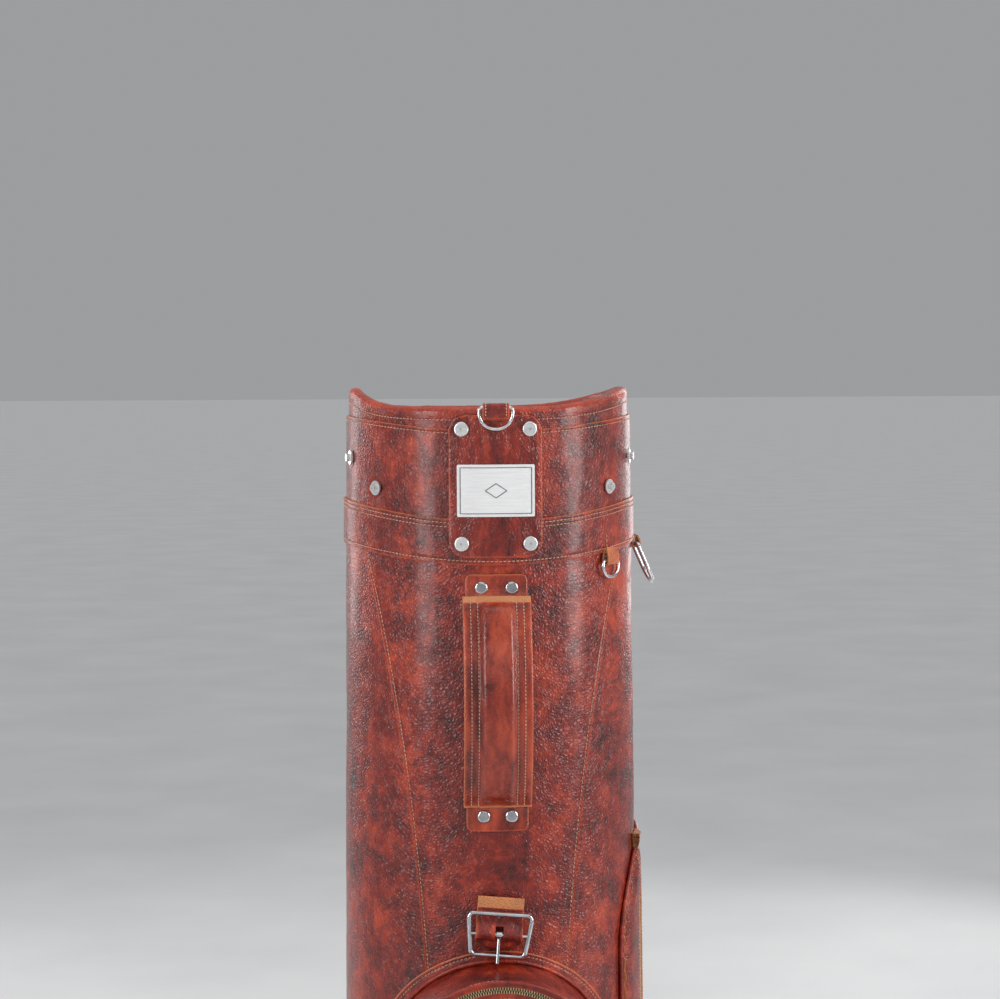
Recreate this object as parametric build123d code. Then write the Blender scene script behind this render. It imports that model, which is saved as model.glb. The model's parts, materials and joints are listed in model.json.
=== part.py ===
from build123d import *
import math
import os

# A leather golf staff bag, standing upright.
#
# Millimetres. +Z is up and the origin is the middle of the underside, on the ground.
# The front of the bag (ball pocket, handle, crest) faces -Y, and +X is on the viewer's right.
# Azimuths are degrees round the bag from the front, positive towards +X.

# ---------------------------------------------------------------- driving dimensions
BASE_RADIUS = 133.0          # outside of the leather at the ground
TAPER = 0.0083               # radius lost per millimetre of height
TAPER_ANGLE = math.degrees(math.atan(TAPER))
LEATHER = 2.2                # thickness of the main hide
GAP = 0.2                    # air between layers that lie on each other

RIM_HEIGHT = 868.0           # top edge at the front and back
RIM_LIFT = 18.0              # how much higher the top edge is at the sides
CUFF_TOP = 848.5             # upper seam, where the cuff overlaps the collar
CUFF_LIFT = 12.0
BELT_TOP = 773.0
BELT_TOP_LIFT = 15.0
BELT_BOTTOM = 735.5
BELT_BOTTOM_LIFT = 13.0
LIFT_RADIUS = 126.0          # the lifts above are reached at this distance from the middle

FOOT_HEIGHT = 4.0
CUP_RADIUS = 134.4
CUP_TOP = 42.0
CUP_WALL = 3.4
WELT_TOP = 46.4

LINER = 2.4                  # wall of the stiff tube that gives the bag its shape
RING_OUTER = 120.8           # moulded ring inside the mouth
RING_WALL = 4.0
RING_BOTTOM = 812.0
RING_TOP = 855.8
DIVIDER_TOP = 852.0
DIVIDER_BAR = 8.0
DIVIDER_X = 38.0             # the two cross dividers
DIVIDER_REACH = 116.4

PATCH_WIDTH = 76.0
PATCH_BOTTOM = 742.0
PATCH_TOP = 861.0
PATCH_CORNER = 14.0
PATCH_LIFT = 2.5             # the patch lies over the belt
PLATE_SIZE = (65.0, 43.5, 1.4)
PLATE_HEIGHT = 798.2
PATCH_RIVETS = [(side * 12.6, z) for side in (-1, 1) for z in (849.5, 753.7)]
HOOD_STUDS = [(52, 799), (-52, 799), (74, 824), (-74, 824), (128, 805), (-128, 805)]
STUD_RADIUS = 3.3
STUD_HEIGHT = 3.2
STUD_FLANGE = 1.4

HANDLE_TOP = 710.0
HANDLE_BOTTOM = 533.0
HANDLE_BOW = 27.5
HANDLE_WIDTH = 57.0
HANDLE_TAB_WIDTH = 52.0
HANDLE_RIVETS = [(5.6, 717), (-5.6, 717), (5.1, 525), (-5.1, 525)]

BUCKLE_BAR = (-142.0, 427.0)  # y and z of the bar that the buckle turns on
BUCKLE_HALF = 17.5            # from that bar to the top and bottom bars
BUCKLE_SKEW = 5.0             # the buckle sits a few degrees askew
PRONG_PAST = 5.5              # how far the prong runs past the bottom bar

POCKET_ARCH_Z = 308.0        # centre of the ball pocket's round top
POCKET_BOTTOM = 72.0
POCKET_HALF = 93.0           # outside of the gusset
POCKET_FRONT = -193.4        # outside of the pocket's front
POCKET_CORNER = 40.0
ZIP_RADIUS = 86.0
ZIP_PARK = 8.0               # degrees past the fold line where the slider is parked
ZIP_SLOT = 2.0               # between the two rows of teeth
ZIP_TAPE = 2.4               # width of each row in the slot
ZIP_THICKNESS = 1.4

SIDE_CENTRE_Y = 11.0
SIDE_HALF = 81.0
SIDE_ARCH = (388.0, 102.0)   # height of the arch's springing, and its rise
SIDE_BOTTOM = 95.0
SIDE_DEPTH = 6.5
SIDE_ZIP_AZIMUTH = 74.0
SIDE_ZIP = (140.0, 440.0)
SIDE_SLIDER_Z = 158.0

TOP_RING_BAR = (-134.4, 867.5)
TOP_LOOP_WIDTH = 21.0
TOWEL_AZIMUTH = 50.0
TOWEL_BAR_Z = 735.5
SIDE_RING_AZIMUTH = 92.0
SIDE_RING_BAR_Z = 745.0
SIDE_RING_SWING = 23.0       # how far out from hanging the side ring stands

STRAP_RING_Z = (727.0, 150.0)
STRAP_RING_DROP = 22.0
SWIVEL_LIFT = 23.0           # from the leather to the strap's swivel line, at the upper ring
STRAP_BOW = 122.0
STRAP_WIDTH = 40.0
STRAP_BAR_DROP = 36.0        # from a hook's eye to the bar that the strap is folded round
REACH = 320.0                # longer than anything it cuts

BOTTOM = (Align.CENTER, Align.CENTER, Align.MIN)


# ---------------------------------------------------------------- shapes used again and again
def leather_radius(z):
    """Outside radius of the bag's leather at a height."""
    return BASE_RADIUS - TAPER * z


def cone(offset, low, high):
    """The bag's outside, grown by offset, as a solid between two heights."""
    body = Cone(leather_radius(low) + offset, leather_radius(high) + offset, high - low, align=BOTTOM)
    return Pos(0, 0, low) * body


def shell(inner, outer, low=0.0, high=900.0):
    """A layer round the bag, between two offsets from the leather's outside."""
    return cone(outer, low, high) - cone(inner, low, high)


def tube(inner, outer, low, high):
    """A straight ring about the bag's axis."""
    ring = Cylinder(outer, high - low, align=BOTTOM) - Cylinder(inner, high - low, align=BOTTOM)
    return Pos(0, 0, low) * ring


def below(height, lift):
    """Everything under a saddle edge: height at the front and back, lift higher at the sides."""
    half = 1.2 * LIFT_RADIUS
    rise = lift * 1.2**2
    edge = Bezier((-half, height + rise), (0, height - rise), (half, height + rise))
    walls = Polyline((half, height + rise), (half, -10), (-half, -10), (-half, height + rise))
    return extrude(Plane.XZ * make_face(edge + walls), amount=REACH, both=True)


def on_bag(azimuth, z, lift=0.0):
    """Stand on the leather: local Z points out of the bag, local Y up it and local X across it."""
    outward = Pos(0, -(leather_radius(z) + lift), z) * Rot(90 - TAPER_ANGLE, 0, 0)
    return Rot(0, 0, azimuth) * outward


def front_prism(outline):
    """A flat outline, x across and y up, run through the front of the bag."""
    return extrude(Plane.XZ * outline, amount=REACH)


def peg(radius, low, high):
    """A round peg along local Z."""
    return Pos(0, 0, low) * Cylinder(radius, high - low, align=BOTTOM)


def bar_across(radius, length):
    """A round bar along local X, centred."""
    return Rot(0, 90, 0) * Cylinder(radius, length)


def bent_wire(path, radius):
    """A round wire that follows a closed flat path."""
    return sweep(Plane(origin=path @ 0, z_dir=path % 0) * Circle(radius), path=path)


def d_ring(half_width, drop, radius):
    """A D of wire in the local XY plane: its bar lies along X, and its bow hangs towards -Y."""
    corners = [(-half_width, 0), (half_width, 0), (half_width, -drop), (-half_width, -drop)]
    bow = min(half_width - 0.6, drop - 2.2 * radius - 0.4)
    outline = FilletPolyline(*corners, radius=[2.2 * radius, 2.2 * radius, bow, bow], close=True)
    return bent_wire(outline, radius)


def ring_loop(width, bar_radius, thickness, tail):
    """A strap folded round a ring's bar, which lies along local X, with its tail towards +Y."""
    outer = bar_radius + 0.3 + thickness
    strap = bar_across(outer, width) + Pos(0, tail / 2, 0) * Box(width, tail, 2 * outer - 1.2)
    return strap - bar_across(bar_radius + 0.3, width + 2)


# ---------------------------------------------------------------- base
def base_feet():
    """A pad under the middle and six studs round it."""
    pads = [peg(22, 0, FOOT_HEIGHT)]
    for step in range(6):
        pads.append(Rot(0, 0, 60 * step + 30) * Pos(105, 0, 0) * peg(12, 0, FOOT_HEIGHT))
    return Part() + [chamfer(pad.edges().sort_by(Axis.Z)[0], 1.0) for pad in pads]


def base_cup():
    """The moulded cup that the bag stands in."""
    cup = peg(CUP_RADIUS, FOOT_HEIGHT, CUP_TOP)
    cup = fillet(cup.edges().sort_by(Axis.Z)[0], 3.0)
    return cup - peg(CUP_RADIUS - CUP_WALL, FOOT_HEIGHT + 4, CUP_TOP + 1)


def base_board():
    return peg(127.6, FOOT_HEIGHT + 4 + GAP, 16)


def base_welt():
    """A cord of leather between the cup and the side leather."""
    ring = tube(CUP_RADIUS - 3.8, CUP_RADIUS, CUP_TOP + GAP, WELT_TOP)
    outer_edges = ring.faces().sort_by(SortBy.AREA)[-1].edges().filter_by(GeomType.CIRCLE)
    return fillet(outer_edges, 1.6)


def liner_tube():
    """The stiff tube inside the leather, from the base to the mouth."""
    tube_wall = shell(-LEATHER - GAP - LINER, -LEATHER - GAP, FOOT_HEIGHT + 4 + GAP, 880)
    return tube_wall & below(833.8, CUFF_LIFT)


# ---------------------------------------------------------------- leather body
def yoke_outline():
    """Half of the front panel's edge: wide at the belt, drawn in to a narrow strip below."""
    sides = []
    for side in (-1, 1):
        top = Line((side * 120.7, 775), (side * 113, 745))
        sweep_in = Bezier((side * 113, 745), (side * 73.5, 591), (side * 60, 380))
        foot = Line((side * 60, 380), (side * 58, 20))
        sides.append([top, sweep_in, foot])
    closing = [Line((-120.7, 775), (120.7, 775)), Line((-58, 20), (58, 20))]
    return make_face(sides[0] + sides[1] + closing)


def body_panels():
    """The four panels of the bag's body: front, two sides and the spine at the back."""
    wrap = shell(-LEATHER, 0, WELT_TOP + GAP, 780) & below(753, BELT_BOTTOM_LIFT)
    front = front_prism(yoke_outline())
    back = extrude(Plane.XZ * Pos(0, 400) * Rectangle(104, 820), amount=-REACH)
    sides = wrap - front - back
    half = Pos(REACH / 2, 0, 400) * Box(REACH, REACH, 1000)
    return {
        "front_panel": wrap & front,
        "spine_panel": wrap & back,
        "right_side_panel": sides & half,
        "left_side_panel": sides & (Pos(-REACH, 0, 0) * half),
    }


def cuff_panel():
    return shell(-LEATHER, 0, 700, 880) & below(CUFF_TOP, CUFF_LIFT) - below(755, BELT_BOTTOM_LIFT)


def belt_band():
    """The band that covers the joint between the body and the cuff."""
    band = shell(0.1, 2.3, 700, 800)
    return band & below(BELT_TOP, BELT_TOP_LIFT) - below(BELT_BOTTOM, BELT_BOTTOM_LIFT)


def collar_strip():
    """The strip between the cuff's top edge and the rolled rim."""
    strip = shell(-2 * LEATHER - GAP, -LEATHER - GAP, 800, 900)
    return strip & below(RIM_HEIGHT - 4, RIM_LIFT) - below(834, CUFF_LIFT)


# ---------------------------------------------------------------- mouth
def rim_roll():
    """The padded edge of the mouth, on top of the moulded ring."""
    return tube(112.2, 121.0, 800, 900) & below(RIM_HEIGHT, RIM_LIFT) - below(RING_TOP + GAP, RIM_LIFT)


def top_frame_ring():
    return tube(RING_OUTER - RING_WALL, RING_OUTER, RING_BOTTOM, 900) & below(RING_TOP, RIM_LIFT)


def divider_grid(thickness, reach, low, high):
    """Six compartments: one wall across the bag, and two walls that cross it."""
    inside = peg(reach, low, high)
    middle = (low + high) / 2
    walls = [Pos(0, 0, middle) * Box(REACH, thickness, high - low) & inside]
    for x in (-DIVIDER_X, DIVIDER_X):
        for side in (-1, 1):
            start = thickness / 2 + GAP
            wall = Pos(x, side * (start + reach / 2), middle) * Box(thickness, reach, high - low)
            walls.append(wall & inside)
    return Part() + walls


def divider_bars():
    """Padded bars across the mouth."""
    return divider_grid(DIVIDER_BAR, DIVIDER_REACH, 830, DIVIDER_TOP)


def divider_sheets():
    """Cloth walls under the bars, down to the base board."""
    return divider_grid(1.4, DIVIDER_REACH, 17, 829.6)


# ---------------------------------------------------------------- crest, rivets and studs
def rivet(head_radius, head_height, shank_radius, shank_length, eye):
    """A rivet on local Z: a domed head, a shank through the leather and a small eye in the head."""
    head = peg(head_radius, 0, head_height)
    head = fillet(head.edges().sort_by(Axis.Z)[-1], 0.75 * head_height)
    return head + peg(shank_radius, -shank_length, 0.5) - peg(eye, head_height - 1.2, head_height + 1)


def crest_patch():
    """The leather patch down the middle of the cuff and belt."""
    height = PATCH_TOP - PATCH_BOTTOM
    outline = Pos(0, PATCH_BOTTOM + height / 2) * RectangleRounded(PATCH_WIDTH, height, PATCH_CORNER)
    return shell(PATCH_LIFT, PATCH_LIFT + LEATHER, 700, 880) & front_prism(outline)


def nameplate():
    """A plain metal plate, rolled to the patch's curve."""
    width, height, thickness = PLATE_SIZE
    outline = Pos(0, PLATE_HEIGHT) * RectangleRounded(width, height, 1.2)
    return shell(4.8, 4.8 + thickness, 700, 880) & front_prism(outline)


def patch_rivets():
    return Part() + [on_bag(a, z, 4.8) * rivet(6.25, 1.8, 2.4, 7.1, 1.1) for a, z in PATCH_RIVETS]


def handle_rivets():
    return Part() + [on_bag(a, z, 2.8) * rivet(5.5, 2.4, 2.2, 5.0, 0.4) for a, z in HANDLE_RIVETS]


def hood_studs():
    """Studs round the cuff that a rain hood snaps onto."""
    studs = []
    for azimuth, z in HOOD_STUDS:
        stud = peg(6.25, 0, STUD_FLANGE) + peg(STUD_RADIUS, STUD_FLANGE, STUD_FLANGE + STUD_HEIGHT)
        stud += peg(2.2, -LEATHER - 0.1, 0.5)
        stud -= peg(0.8, STUD_FLANGE + STUD_HEIGHT - 1.2, STUD_FLANGE + STUD_HEIGHT + 1)
        studs.append(on_bag(azimuth, z, 0.1) * stud)
    return Part() + studs


def shank_holes():
    """Every hole that a rivet or stud makes through the leather."""
    holes = [on_bag(a, z, 4.8) * peg(2.4, -9, 0.5) for a, z in PATCH_RIVETS]
    holes += [on_bag(a, z, 2.8) * peg(2.2, -6, 0.5) for a, z in HANDLE_RIVETS]
    holes += [on_bag(a, z, 0.1) * peg(2.2, -3, 0.5) for a, z in HOOD_STUDS]
    return holes


# ---------------------------------------------------------------- carrying handle
def handle_band(inner, outer, width):
    """A band bowed out from the bag, between two offsets from its middle line."""
    foot = -(leather_radius(HANDLE_BOTTOM) + 2.6)
    middle = (HANDLE_TOP + HANDLE_BOTTOM) / 2
    half = (HANDLE_TOP - HANDLE_BOTTOM) / 2
    radius = (half**2 + HANDLE_BOW**2) / (2 * HANDLE_BOW)
    centre = foot - HANDLE_BOW + radius
    ring = Rot(0, 90, 0) * (Cylinder(radius + outer, width) - Cylinder(radius + inner, width))
    slab = Pos(0, -REACH / 2 + foot + 1.5, middle) * Box(REACH, REACH, 2 * half)
    return Pos(0, centre, middle) * ring & slab


def handle_strap():
    """The strap that is riveted to the bag at both ends and runs inside the grip."""
    tabs = Part()
    for low, high in ((HANDLE_TOP - 14, 728), (512, HANDLE_BOTTOM + 14)):
        outline = Pos(0, (low + high) / 2) * RectangleRounded(HANDLE_TAB_WIDTH, high - low, 5)
        tabs += shell(0.2, 2.7, 480, 760) & front_prism(outline)
    band = handle_band(-1.2, 1.2, HANDLE_TAB_WIDTH) - cone(0.2, 480, 760)
    return tabs + band


def handle_grip():
    """The stitched leather sleeve over the bowed strap."""
    grip = handle_band(-4.0, 4.5, HANDLE_WIDTH)
    return grip - cone(2.9, 480, 760) - handle_band(-1.3, 1.3, HANDLE_TAB_WIDTH + 0.2)


# ---------------------------------------------------------------- buckle over the ball pocket
def buckle_place():
    """The buckle's bar: local X along it, local Y up, local Z out of the bag."""
    return Pos(0, *BUCKLE_BAR) * Rot(0, BUCKLE_SKEW, 0) * Rot(90, 0, 0)


def buckle_tab():
    """A strap end sewn to the bag, folded round the buckle's bar, with a slot for the prong."""
    back, front, top = -12.2, -7.6, 30.0
    lobe = ThreePointArc((3.6, 2.1), (-3.5, 2.3), (-1.5, -3.9))
    sides = Polyline((-1.5, -3.9), (6.0, back), (top, back), (top, front), (13.0, front), (3.6, 2.1))
    tab = extrude(Plane.YZ * make_face(lobe + sides), amount=19.5, both=True)
    slot = Pos(0, 0.5, 0) * Box(6.4, 10.0, 20.0)
    return buckle_place() * (tab - slot - bar_across(1.9, 60))


def buckle_frame():
    """A wire rectangle, a little wider at the top, with a bar across its middle."""
    top, bottom = 27.0, 22.5
    corners = [(-top, BUCKLE_HALF), (top, BUCKLE_HALF), (bottom, -BUCKLE_HALF), (-bottom, -BUCKLE_HALF)]
    outline = FilletPolyline(*corners, radius=4.5, close=True)
    bar = bar_across(1.6, 48.6)
    return buckle_place() * (bent_wire(outline, 1.9) + bar)


def buckle_prong():
    """The prong: an eye round the bar and a tongue that rests on the bottom bar."""
    eye = bar_across(3.3, 4.6) - bar_across(1.9, 8)
    lean = math.degrees(math.asin((1.9 + 1.4 + 0.3) / BUCKLE_HALF))
    tongue = Rot(90 - lean, 0, 0) * peg(1.4, 2.4, BUCKLE_HALF + PRONG_PAST)
    tip = Rot(90 - lean, 0, 0) * Pos(0, 0, BUCKLE_HALF + PRONG_PAST) * Sphere(1.4)
    return buckle_place() * (eye + tongue + tip - bar_across(1.9, 8))


# ---------------------------------------------------------------- ball pocket
def pocket_outline(half):
    """A round-topped outline with rounded bottom corners, half wide, about the pocket's centre."""
    inset = POCKET_HALF - half
    low = POCKET_BOTTOM + inset
    corner = POCKET_CORNER - inset
    arch = CenterArc((0, POCKET_ARCH_Z), half, 0, 180)
    left = Line((-half, POCKET_ARCH_Z), (-half, low + corner))
    left_corner = CenterArc((-half + corner, low + corner), corner, 180, 90)
    foot = Line((-half + corner, low), (half - corner, low))
    right_corner = CenterArc((half - corner, low + corner), corner, 270, 90)
    right = Line((half, low + corner), (half, POCKET_ARCH_Z))
    return make_face([arch, left, left_corner, foot, right_corner, right])


def pocket_slab(half, back, front):
    """The pocket's outline as a slab between two planes across Y."""
    return Pos(0, back, 0) * extrude(Plane.XZ * pocket_outline(half), amount=back - front)


def zip_arc(inner, outer, past, back, front):
    """Part of a ring round the zip's centre, over the top and a few degrees past each end."""
    ring = Cylinder(outer, back - front) - Cylinder(inner, back - front)
    ring = Pos(0, (back + front) / 2, POCKET_ARCH_Z) * Rot(90, 0, 0) * ring
    depth = ZIP_RADIUS * math.sin(math.radians(past))
    return ring & Pos(0, 0, POCKET_ARCH_Z - depth + 200) * Box(400, 800, 400)


def ball_pocket_gusset():
    """The wall of the pocket, from the bag's leather out to the pocket's front."""
    back, front = -40.0, POCKET_FRONT + 2.4 + GAP
    wall = pocket_slab(POCKET_HALF, back, front) - pocket_slab(POCKET_HALF - 2.4, back, front)
    return wall - cone(0.3, 40, 450)


def ball_pocket_flange():
    """The gusset's turned edge, sewn down on the bag all round the pocket."""
    strip = pocket_slab(POCKET_HALF + 7.5, -20, -160) - pocket_slab(POCKET_HALF + 3.0, -20, -160)
    return shell(0.2, 2.2, 40, 450) & strip


def ball_pocket_piping():
    """A cord of leather in the corner between the gusset and the bag."""
    cord = pocket_slab(POCKET_HALF + 2.8, -20, -160) - pocket_slab(POCKET_HALF + 0.2, -20, -160)
    return shell(0.2, 4.0, 40, 450) & cord


def zip_opening():
    """The half disc that the zip goes round, with its slots past the fold line."""
    back, front = POCKET_FRONT + 6, POCKET_FRONT - 6
    slots = zip_arc(ZIP_RADIUS - ZIP_SLOT / 2, ZIP_RADIUS + ZIP_SLOT / 2, 2.1 * ZIP_PARK, back, front)
    disc = Pos(0, POCKET_FRONT, POCKET_ARCH_Z) * Rot(90, 0, 0) * Cylinder(zip_edge(), 12)
    upper = disc & Pos(0, 0, POCKET_ARCH_Z + 200) * Box(400, 800, 400)
    return upper + slots


def zip_edge():
    """Outer edge of the fixed row of teeth."""
    return ZIP_RADIUS + ZIP_SLOT / 2 + ZIP_TAPE


def ball_pocket_front():
    """The pocket's front below the fold, and the narrow rim above it round the zip."""
    return pocket_slab(POCKET_HALF, POCKET_FRONT + 2.4, POCKET_FRONT) - zip_opening()


def ball_pocket_lid():
    """The half disc that folds down and out when the zip is open."""
    radius = ZIP_RADIUS - ZIP_SLOT / 2 - ZIP_TAPE - 0.1
    disc = Pos(0, POCKET_FRONT + 1.2, POCKET_ARCH_Z) * Rot(90, 0, 0) * Cylinder(radius, 2.4)
    return disc & Pos(0, 0, POCKET_ARCH_Z + 0.4 + 200) * Box(400, 800, 400)


def zip_rows():
    """The two rows of teeth on their tapes: one on the pocket, one on the lid."""
    middle = POCKET_FRONT + 1.2
    faces = (middle + ZIP_THICKNESS / 2, middle - ZIP_THICKNESS / 2)
    fixed = zip_arc(ZIP_RADIUS + ZIP_SLOT / 2, zip_edge() - 0.1, 0, *faces)
    moving = zip_arc(ZIP_RADIUS - ZIP_SLOT / 2 - ZIP_TAPE, ZIP_RADIUS - ZIP_SLOT / 2, 0, *faces)
    moving &= Pos(0, 0, POCKET_ARCH_Z + 0.4 + 200) * Box(400, 800, 400)
    return {"ball_zip_fixed_row": fixed, "ball_zip_lid_row": moving}


# ---------------------------------------------------------------- zip sliders and pulls
def zip_slider():
    """A slider on the zip's middle plane: local Y along the zip, local Z out of the bag."""
    plates = Part()
    for low in (1.7, -3.2):
        plate = Pos(0, 0, low) * extrude(RectangleRounded(9, 12, 2.5), amount=1.5)
        plates += plate
    plates += Box(1.2, 4, 4.0)
    for x in (-3.5, 3.5):
        plates += Pos(x, 0, 3.0) * Box(1.2, 2.4, 3.5, align=BOTTOM)
    return plates + Pos(0, 0, 5.6) * bar_across(0.9, 7)


def zip_pull():
    """The pull that hangs from a slider's bar, towards local -Y."""
    eye = bar_across(2.1, 5.0)
    neck = Pos(0, -3, 0) * Box(5.0, 6, 1.6)
    tab = Pos(0, -20, -0.8) * extrude(RectangleRounded(9, 30, 3.5), amount=1.6)
    hole = Pos(0, -31, -2) * Cylinder(1.4, 6)
    return Pos(0, 0, 5.6) * (eye + neck + tab - hole - bar_across(1.2, 8))


def ball_slider_place():
    """Parked on the right, just below the fold line, with its travel up and over to the left."""
    turn = Pos(0, POCKET_FRONT + 1.2, POCKET_ARCH_Z) * Rot(0, ZIP_PARK, 0)
    return turn * Pos(ZIP_RADIUS, 0, 0) * Rot(90, 0, 0)


def side_slider_place():
    return on_bag(SIDE_ZIP_AZIMUTH, SIDE_SLIDER_Z, SIDE_DEPTH - 0.5)


# ---------------------------------------------------------------- side pocket
def side_outline(grow):
    """The side pocket's round-topped outline, y across and z up, grown by grow."""
    spring, rise = SIDE_ARCH
    half = SIDE_HALF + grow
    low = SIDE_BOTTOM - grow
    corner = 34 + grow
    arch = Bezier(
        (SIDE_CENTRE_Y - half, spring),
        (SIDE_CENTRE_Y - half, spring + 1.33 * (rise + grow)),
        (SIDE_CENTRE_Y + half, spring + 1.33 * (rise + grow)),
        (SIDE_CENTRE_Y + half, spring),
    )
    right = Line((SIDE_CENTRE_Y + half, spring), (SIDE_CENTRE_Y + half, low + corner))
    right_corner = CenterArc((SIDE_CENTRE_Y + half - corner, low + corner), corner, 270, 90)
    foot = Line((SIDE_CENTRE_Y + half - corner, low), (SIDE_CENTRE_Y - half + corner, low))
    left_corner = CenterArc((SIDE_CENTRE_Y - half + corner, low + corner), corner, 180, 90)
    left = Line((SIDE_CENTRE_Y - half, low + corner), (SIDE_CENTRE_Y - half, spring))
    return make_face([arch, right, right_corner, foot, left_corner, left])


def side_prism(grow):
    return extrude(Plane.YZ * side_outline(grow), amount=REACH)


def side_zip_box(width, thickness):
    """A straight strip along the side zip's middle plane."""
    low, high = SIDE_ZIP
    middle = (low + high) / 2
    return on_bag(SIDE_ZIP_AZIMUTH, middle, SIDE_DEPTH - 0.5) * Box(width, high - low, thickness)


def side_pocket_panel():
    """The side pocket, lying flat and empty, slit for its zip."""
    return (shell(0.3, SIDE_DEPTH, 60, 520) & side_prism(0)) - side_zip_box(10.8, 40)


def side_pocket_piping():
    return shell(0.3, 4.4, 60, 520) & side_prism(3.4) - side_prism(0.2)


def side_zip_rows():
    """Two rows of teeth in the side pocket's slit, with end stops across them."""
    rows = side_zip_box(10.4, ZIP_THICKNESS) - side_zip_box(ZIP_SLOT, 10)
    low, high = SIDE_ZIP
    for z in (low + 2, high - 2):
        rows += on_bag(SIDE_ZIP_AZIMUTH, z, SIDE_DEPTH - 0.5) * Box(10.4, 3.6, ZIP_THICKNESS)
    return rows


# ---------------------------------------------------------------- hanging rings
def top_ring_place():
    return Pos(0, *TOP_RING_BAR) * Rot(90, 0, 0)


def top_ring_loop():
    """A leather loop that stands out over the crest and holds the top ring's bar."""
    loop = Rot(0, 0, 180) * ring_loop(TOP_LOOP_WIDTH, 1.5, 1.6, 7.2)
    tongue = Pos(0, -2.9, -7.0) * Box(TOP_LOOP_WIDTH, 4.6, 7.6)
    return top_ring_place() * (loop + tongue - bar_across(1.8, 30))


def top_d_ring():
    return top_ring_place() * d_ring(14, 18, 1.5)


def towel_place():
    return on_bag(TOWEL_AZIMUTH, TOWEL_BAR_Z, 4.2)


def towel_ring_tab():
    return towel_place() * ring_loop(16, 1.5, 1.8, 7.0)


def towel_d_ring():
    return towel_place() * d_ring(11.5, 13.5, 1.5)


def side_ring_place():
    return on_bag(SIDE_RING_AZIMUTH, SIDE_RING_BAR_Z, 4.4)


def side_ring_tab():
    """The loop hangs from under the belt's lower edge."""
    return side_ring_place() * ring_loop(24, 1.8, 1.8, 3.2)


def side_ring():
    """A long ring that stands out from the bag, stiff in its loop."""
    return side_ring_place() * Rot(-SIDE_RING_SWING, 0, 0) * d_ring(18, 38, 1.8)


# ---------------------------------------------------------------- shoulder strap
def swivel_line():
    """Y of the upright line that the strap turns about."""
    return leather_radius(STRAP_RING_Z[0]) + SWIVEL_LIFT


def ring_lean(height):
    """How far a strap ring leans out, so that its bow reaches the swivel line."""
    reach = swivel_line() - leather_radius(height) - 5.4
    return math.degrees(math.asin(reach / STRAP_RING_DROP))


def strap_ends():
    """Height of each strap ring's bar, and which way its ring points: down, then up."""
    return ((STRAP_RING_Z[0], 1), (STRAP_RING_Z[1], -1))


def ring_place(height, way):
    """On the spine, at a strap ring's bar. The ring hangs towards local -Y."""
    return on_bag(180, height, 5.4) * Rot(0, 0, 0 if way > 0 else 180)


def spine_ring_tabs():
    """Leather loops sewn to the spine, one for each strap ring."""
    return Part() + [ring_place(z, way) * ring_loop(24, 2.0, 2.2, 7.6) for z, way in strap_ends()]


def spine_rings():
    rings = []
    for z, way in strap_ends():
        rings.append(ring_place(z, way) * Rot(-ring_lean(z), 0, 0) * d_ring(17, STRAP_RING_DROP, 2.0))
    return Part() + rings


def hook_centre(height, way):
    """Centre of the hook's eye, just under the ring's bow: y and z."""
    drop = STRAP_RING_DROP * math.cos(math.radians(ring_lean(height)))
    return swivel_line(), height - way * (drop + 1.9)


def hook_place(height, way):
    """At the hook's eye: local Y towards the ring, local Z away from the bag."""
    y, z = hook_centre(height, way)
    return Pos(0, y, z) * Rot(0, 0, 180) * Rot(90, 0, 0) * Rot(0, 0, 0 if way > 0 else 180)


def strap_hooks():
    """Snap hooks: an eye with a gate gap on its outer side, a stem and a barrel for the swivel."""
    hooks = []
    for z, way in strap_ends():
        eye = Rot(0, 90, 0) * Torus(6.0, 1.8)
        eye -= Pos(0, -1.8, 6.0) * Box(8, 5.2, 5.4)
        eye -= Pos(0, 0, 6.0) * Rot(90, 0, 0) * peg(1.85, -0.8, 12.0)
        stem = Rot(90, 0, 0) * peg(4.0, 6.0, 21.0)
        guide = Pos(0, -12.0, 5.4) * Box(6.0, 8.0, 5.2)
        guide -= Pos(0, -12.0, 6.0) * Rot(90, 0, 0) * Cylinder(1.75, 20)
        hook = eye + stem + guide - Rot(90, 0, 0) * peg(2.0, 14.0, 22.0)
        hooks.append(hook_place(z, way) * hook)
    return Part() + hooks


def hook_bolt(height, way):
    """The sprung bolt that closes a hook, with a thumb knob on its outer side."""
    rod = Pos(0, 0, 6.0) * Rot(90, 0, 0) * peg(1.5, -0.5, 21.8)
    knob = Pos(0, -19.5, 8.4) * Box(3.0, 3.0, 5.0)
    return hook_place(height, way) * (rod + knob)


def strap_swivels():
    """The turning half of each hook: a post in the barrel and a loop for the strap's end."""
    swivels = []
    for z, way in strap_ends():
        post = Rot(90, 0, 0) * peg(1.7, 15.0, 24.0)
        collar = Rot(90, 0, 0) * peg(4.0, 21.4, 24.0)
        loop = Pos(0, -STRAP_BAR_DROP, 0) * Rot(180, 0, 0) * d_ring(STRAP_WIDTH / 2 + 4.5, 12.0, 1.8)
        swivels.append(hook_place(z, way) * (post + collar + loop))
    return Part() + swivels


def strap_bars():
    """Heights of the two bars that the strap's ends are folded round."""
    return [hook_centre(z, way)[1] - way * STRAP_BAR_DROP for z, way in strap_ends()]


def strap_arc():
    """Middle line of the strap in the plane x = 0: its centre (y, z), radius and half angle."""
    high, low = strap_bars()
    half = (high - low) / 2
    radius = (half**2 + STRAP_BOW**2) / (2 * STRAP_BOW)
    centre = (swivel_line() + STRAP_BOW - radius, (high + low) / 2)
    return centre, radius, math.degrees(math.asin(half / radius))


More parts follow.
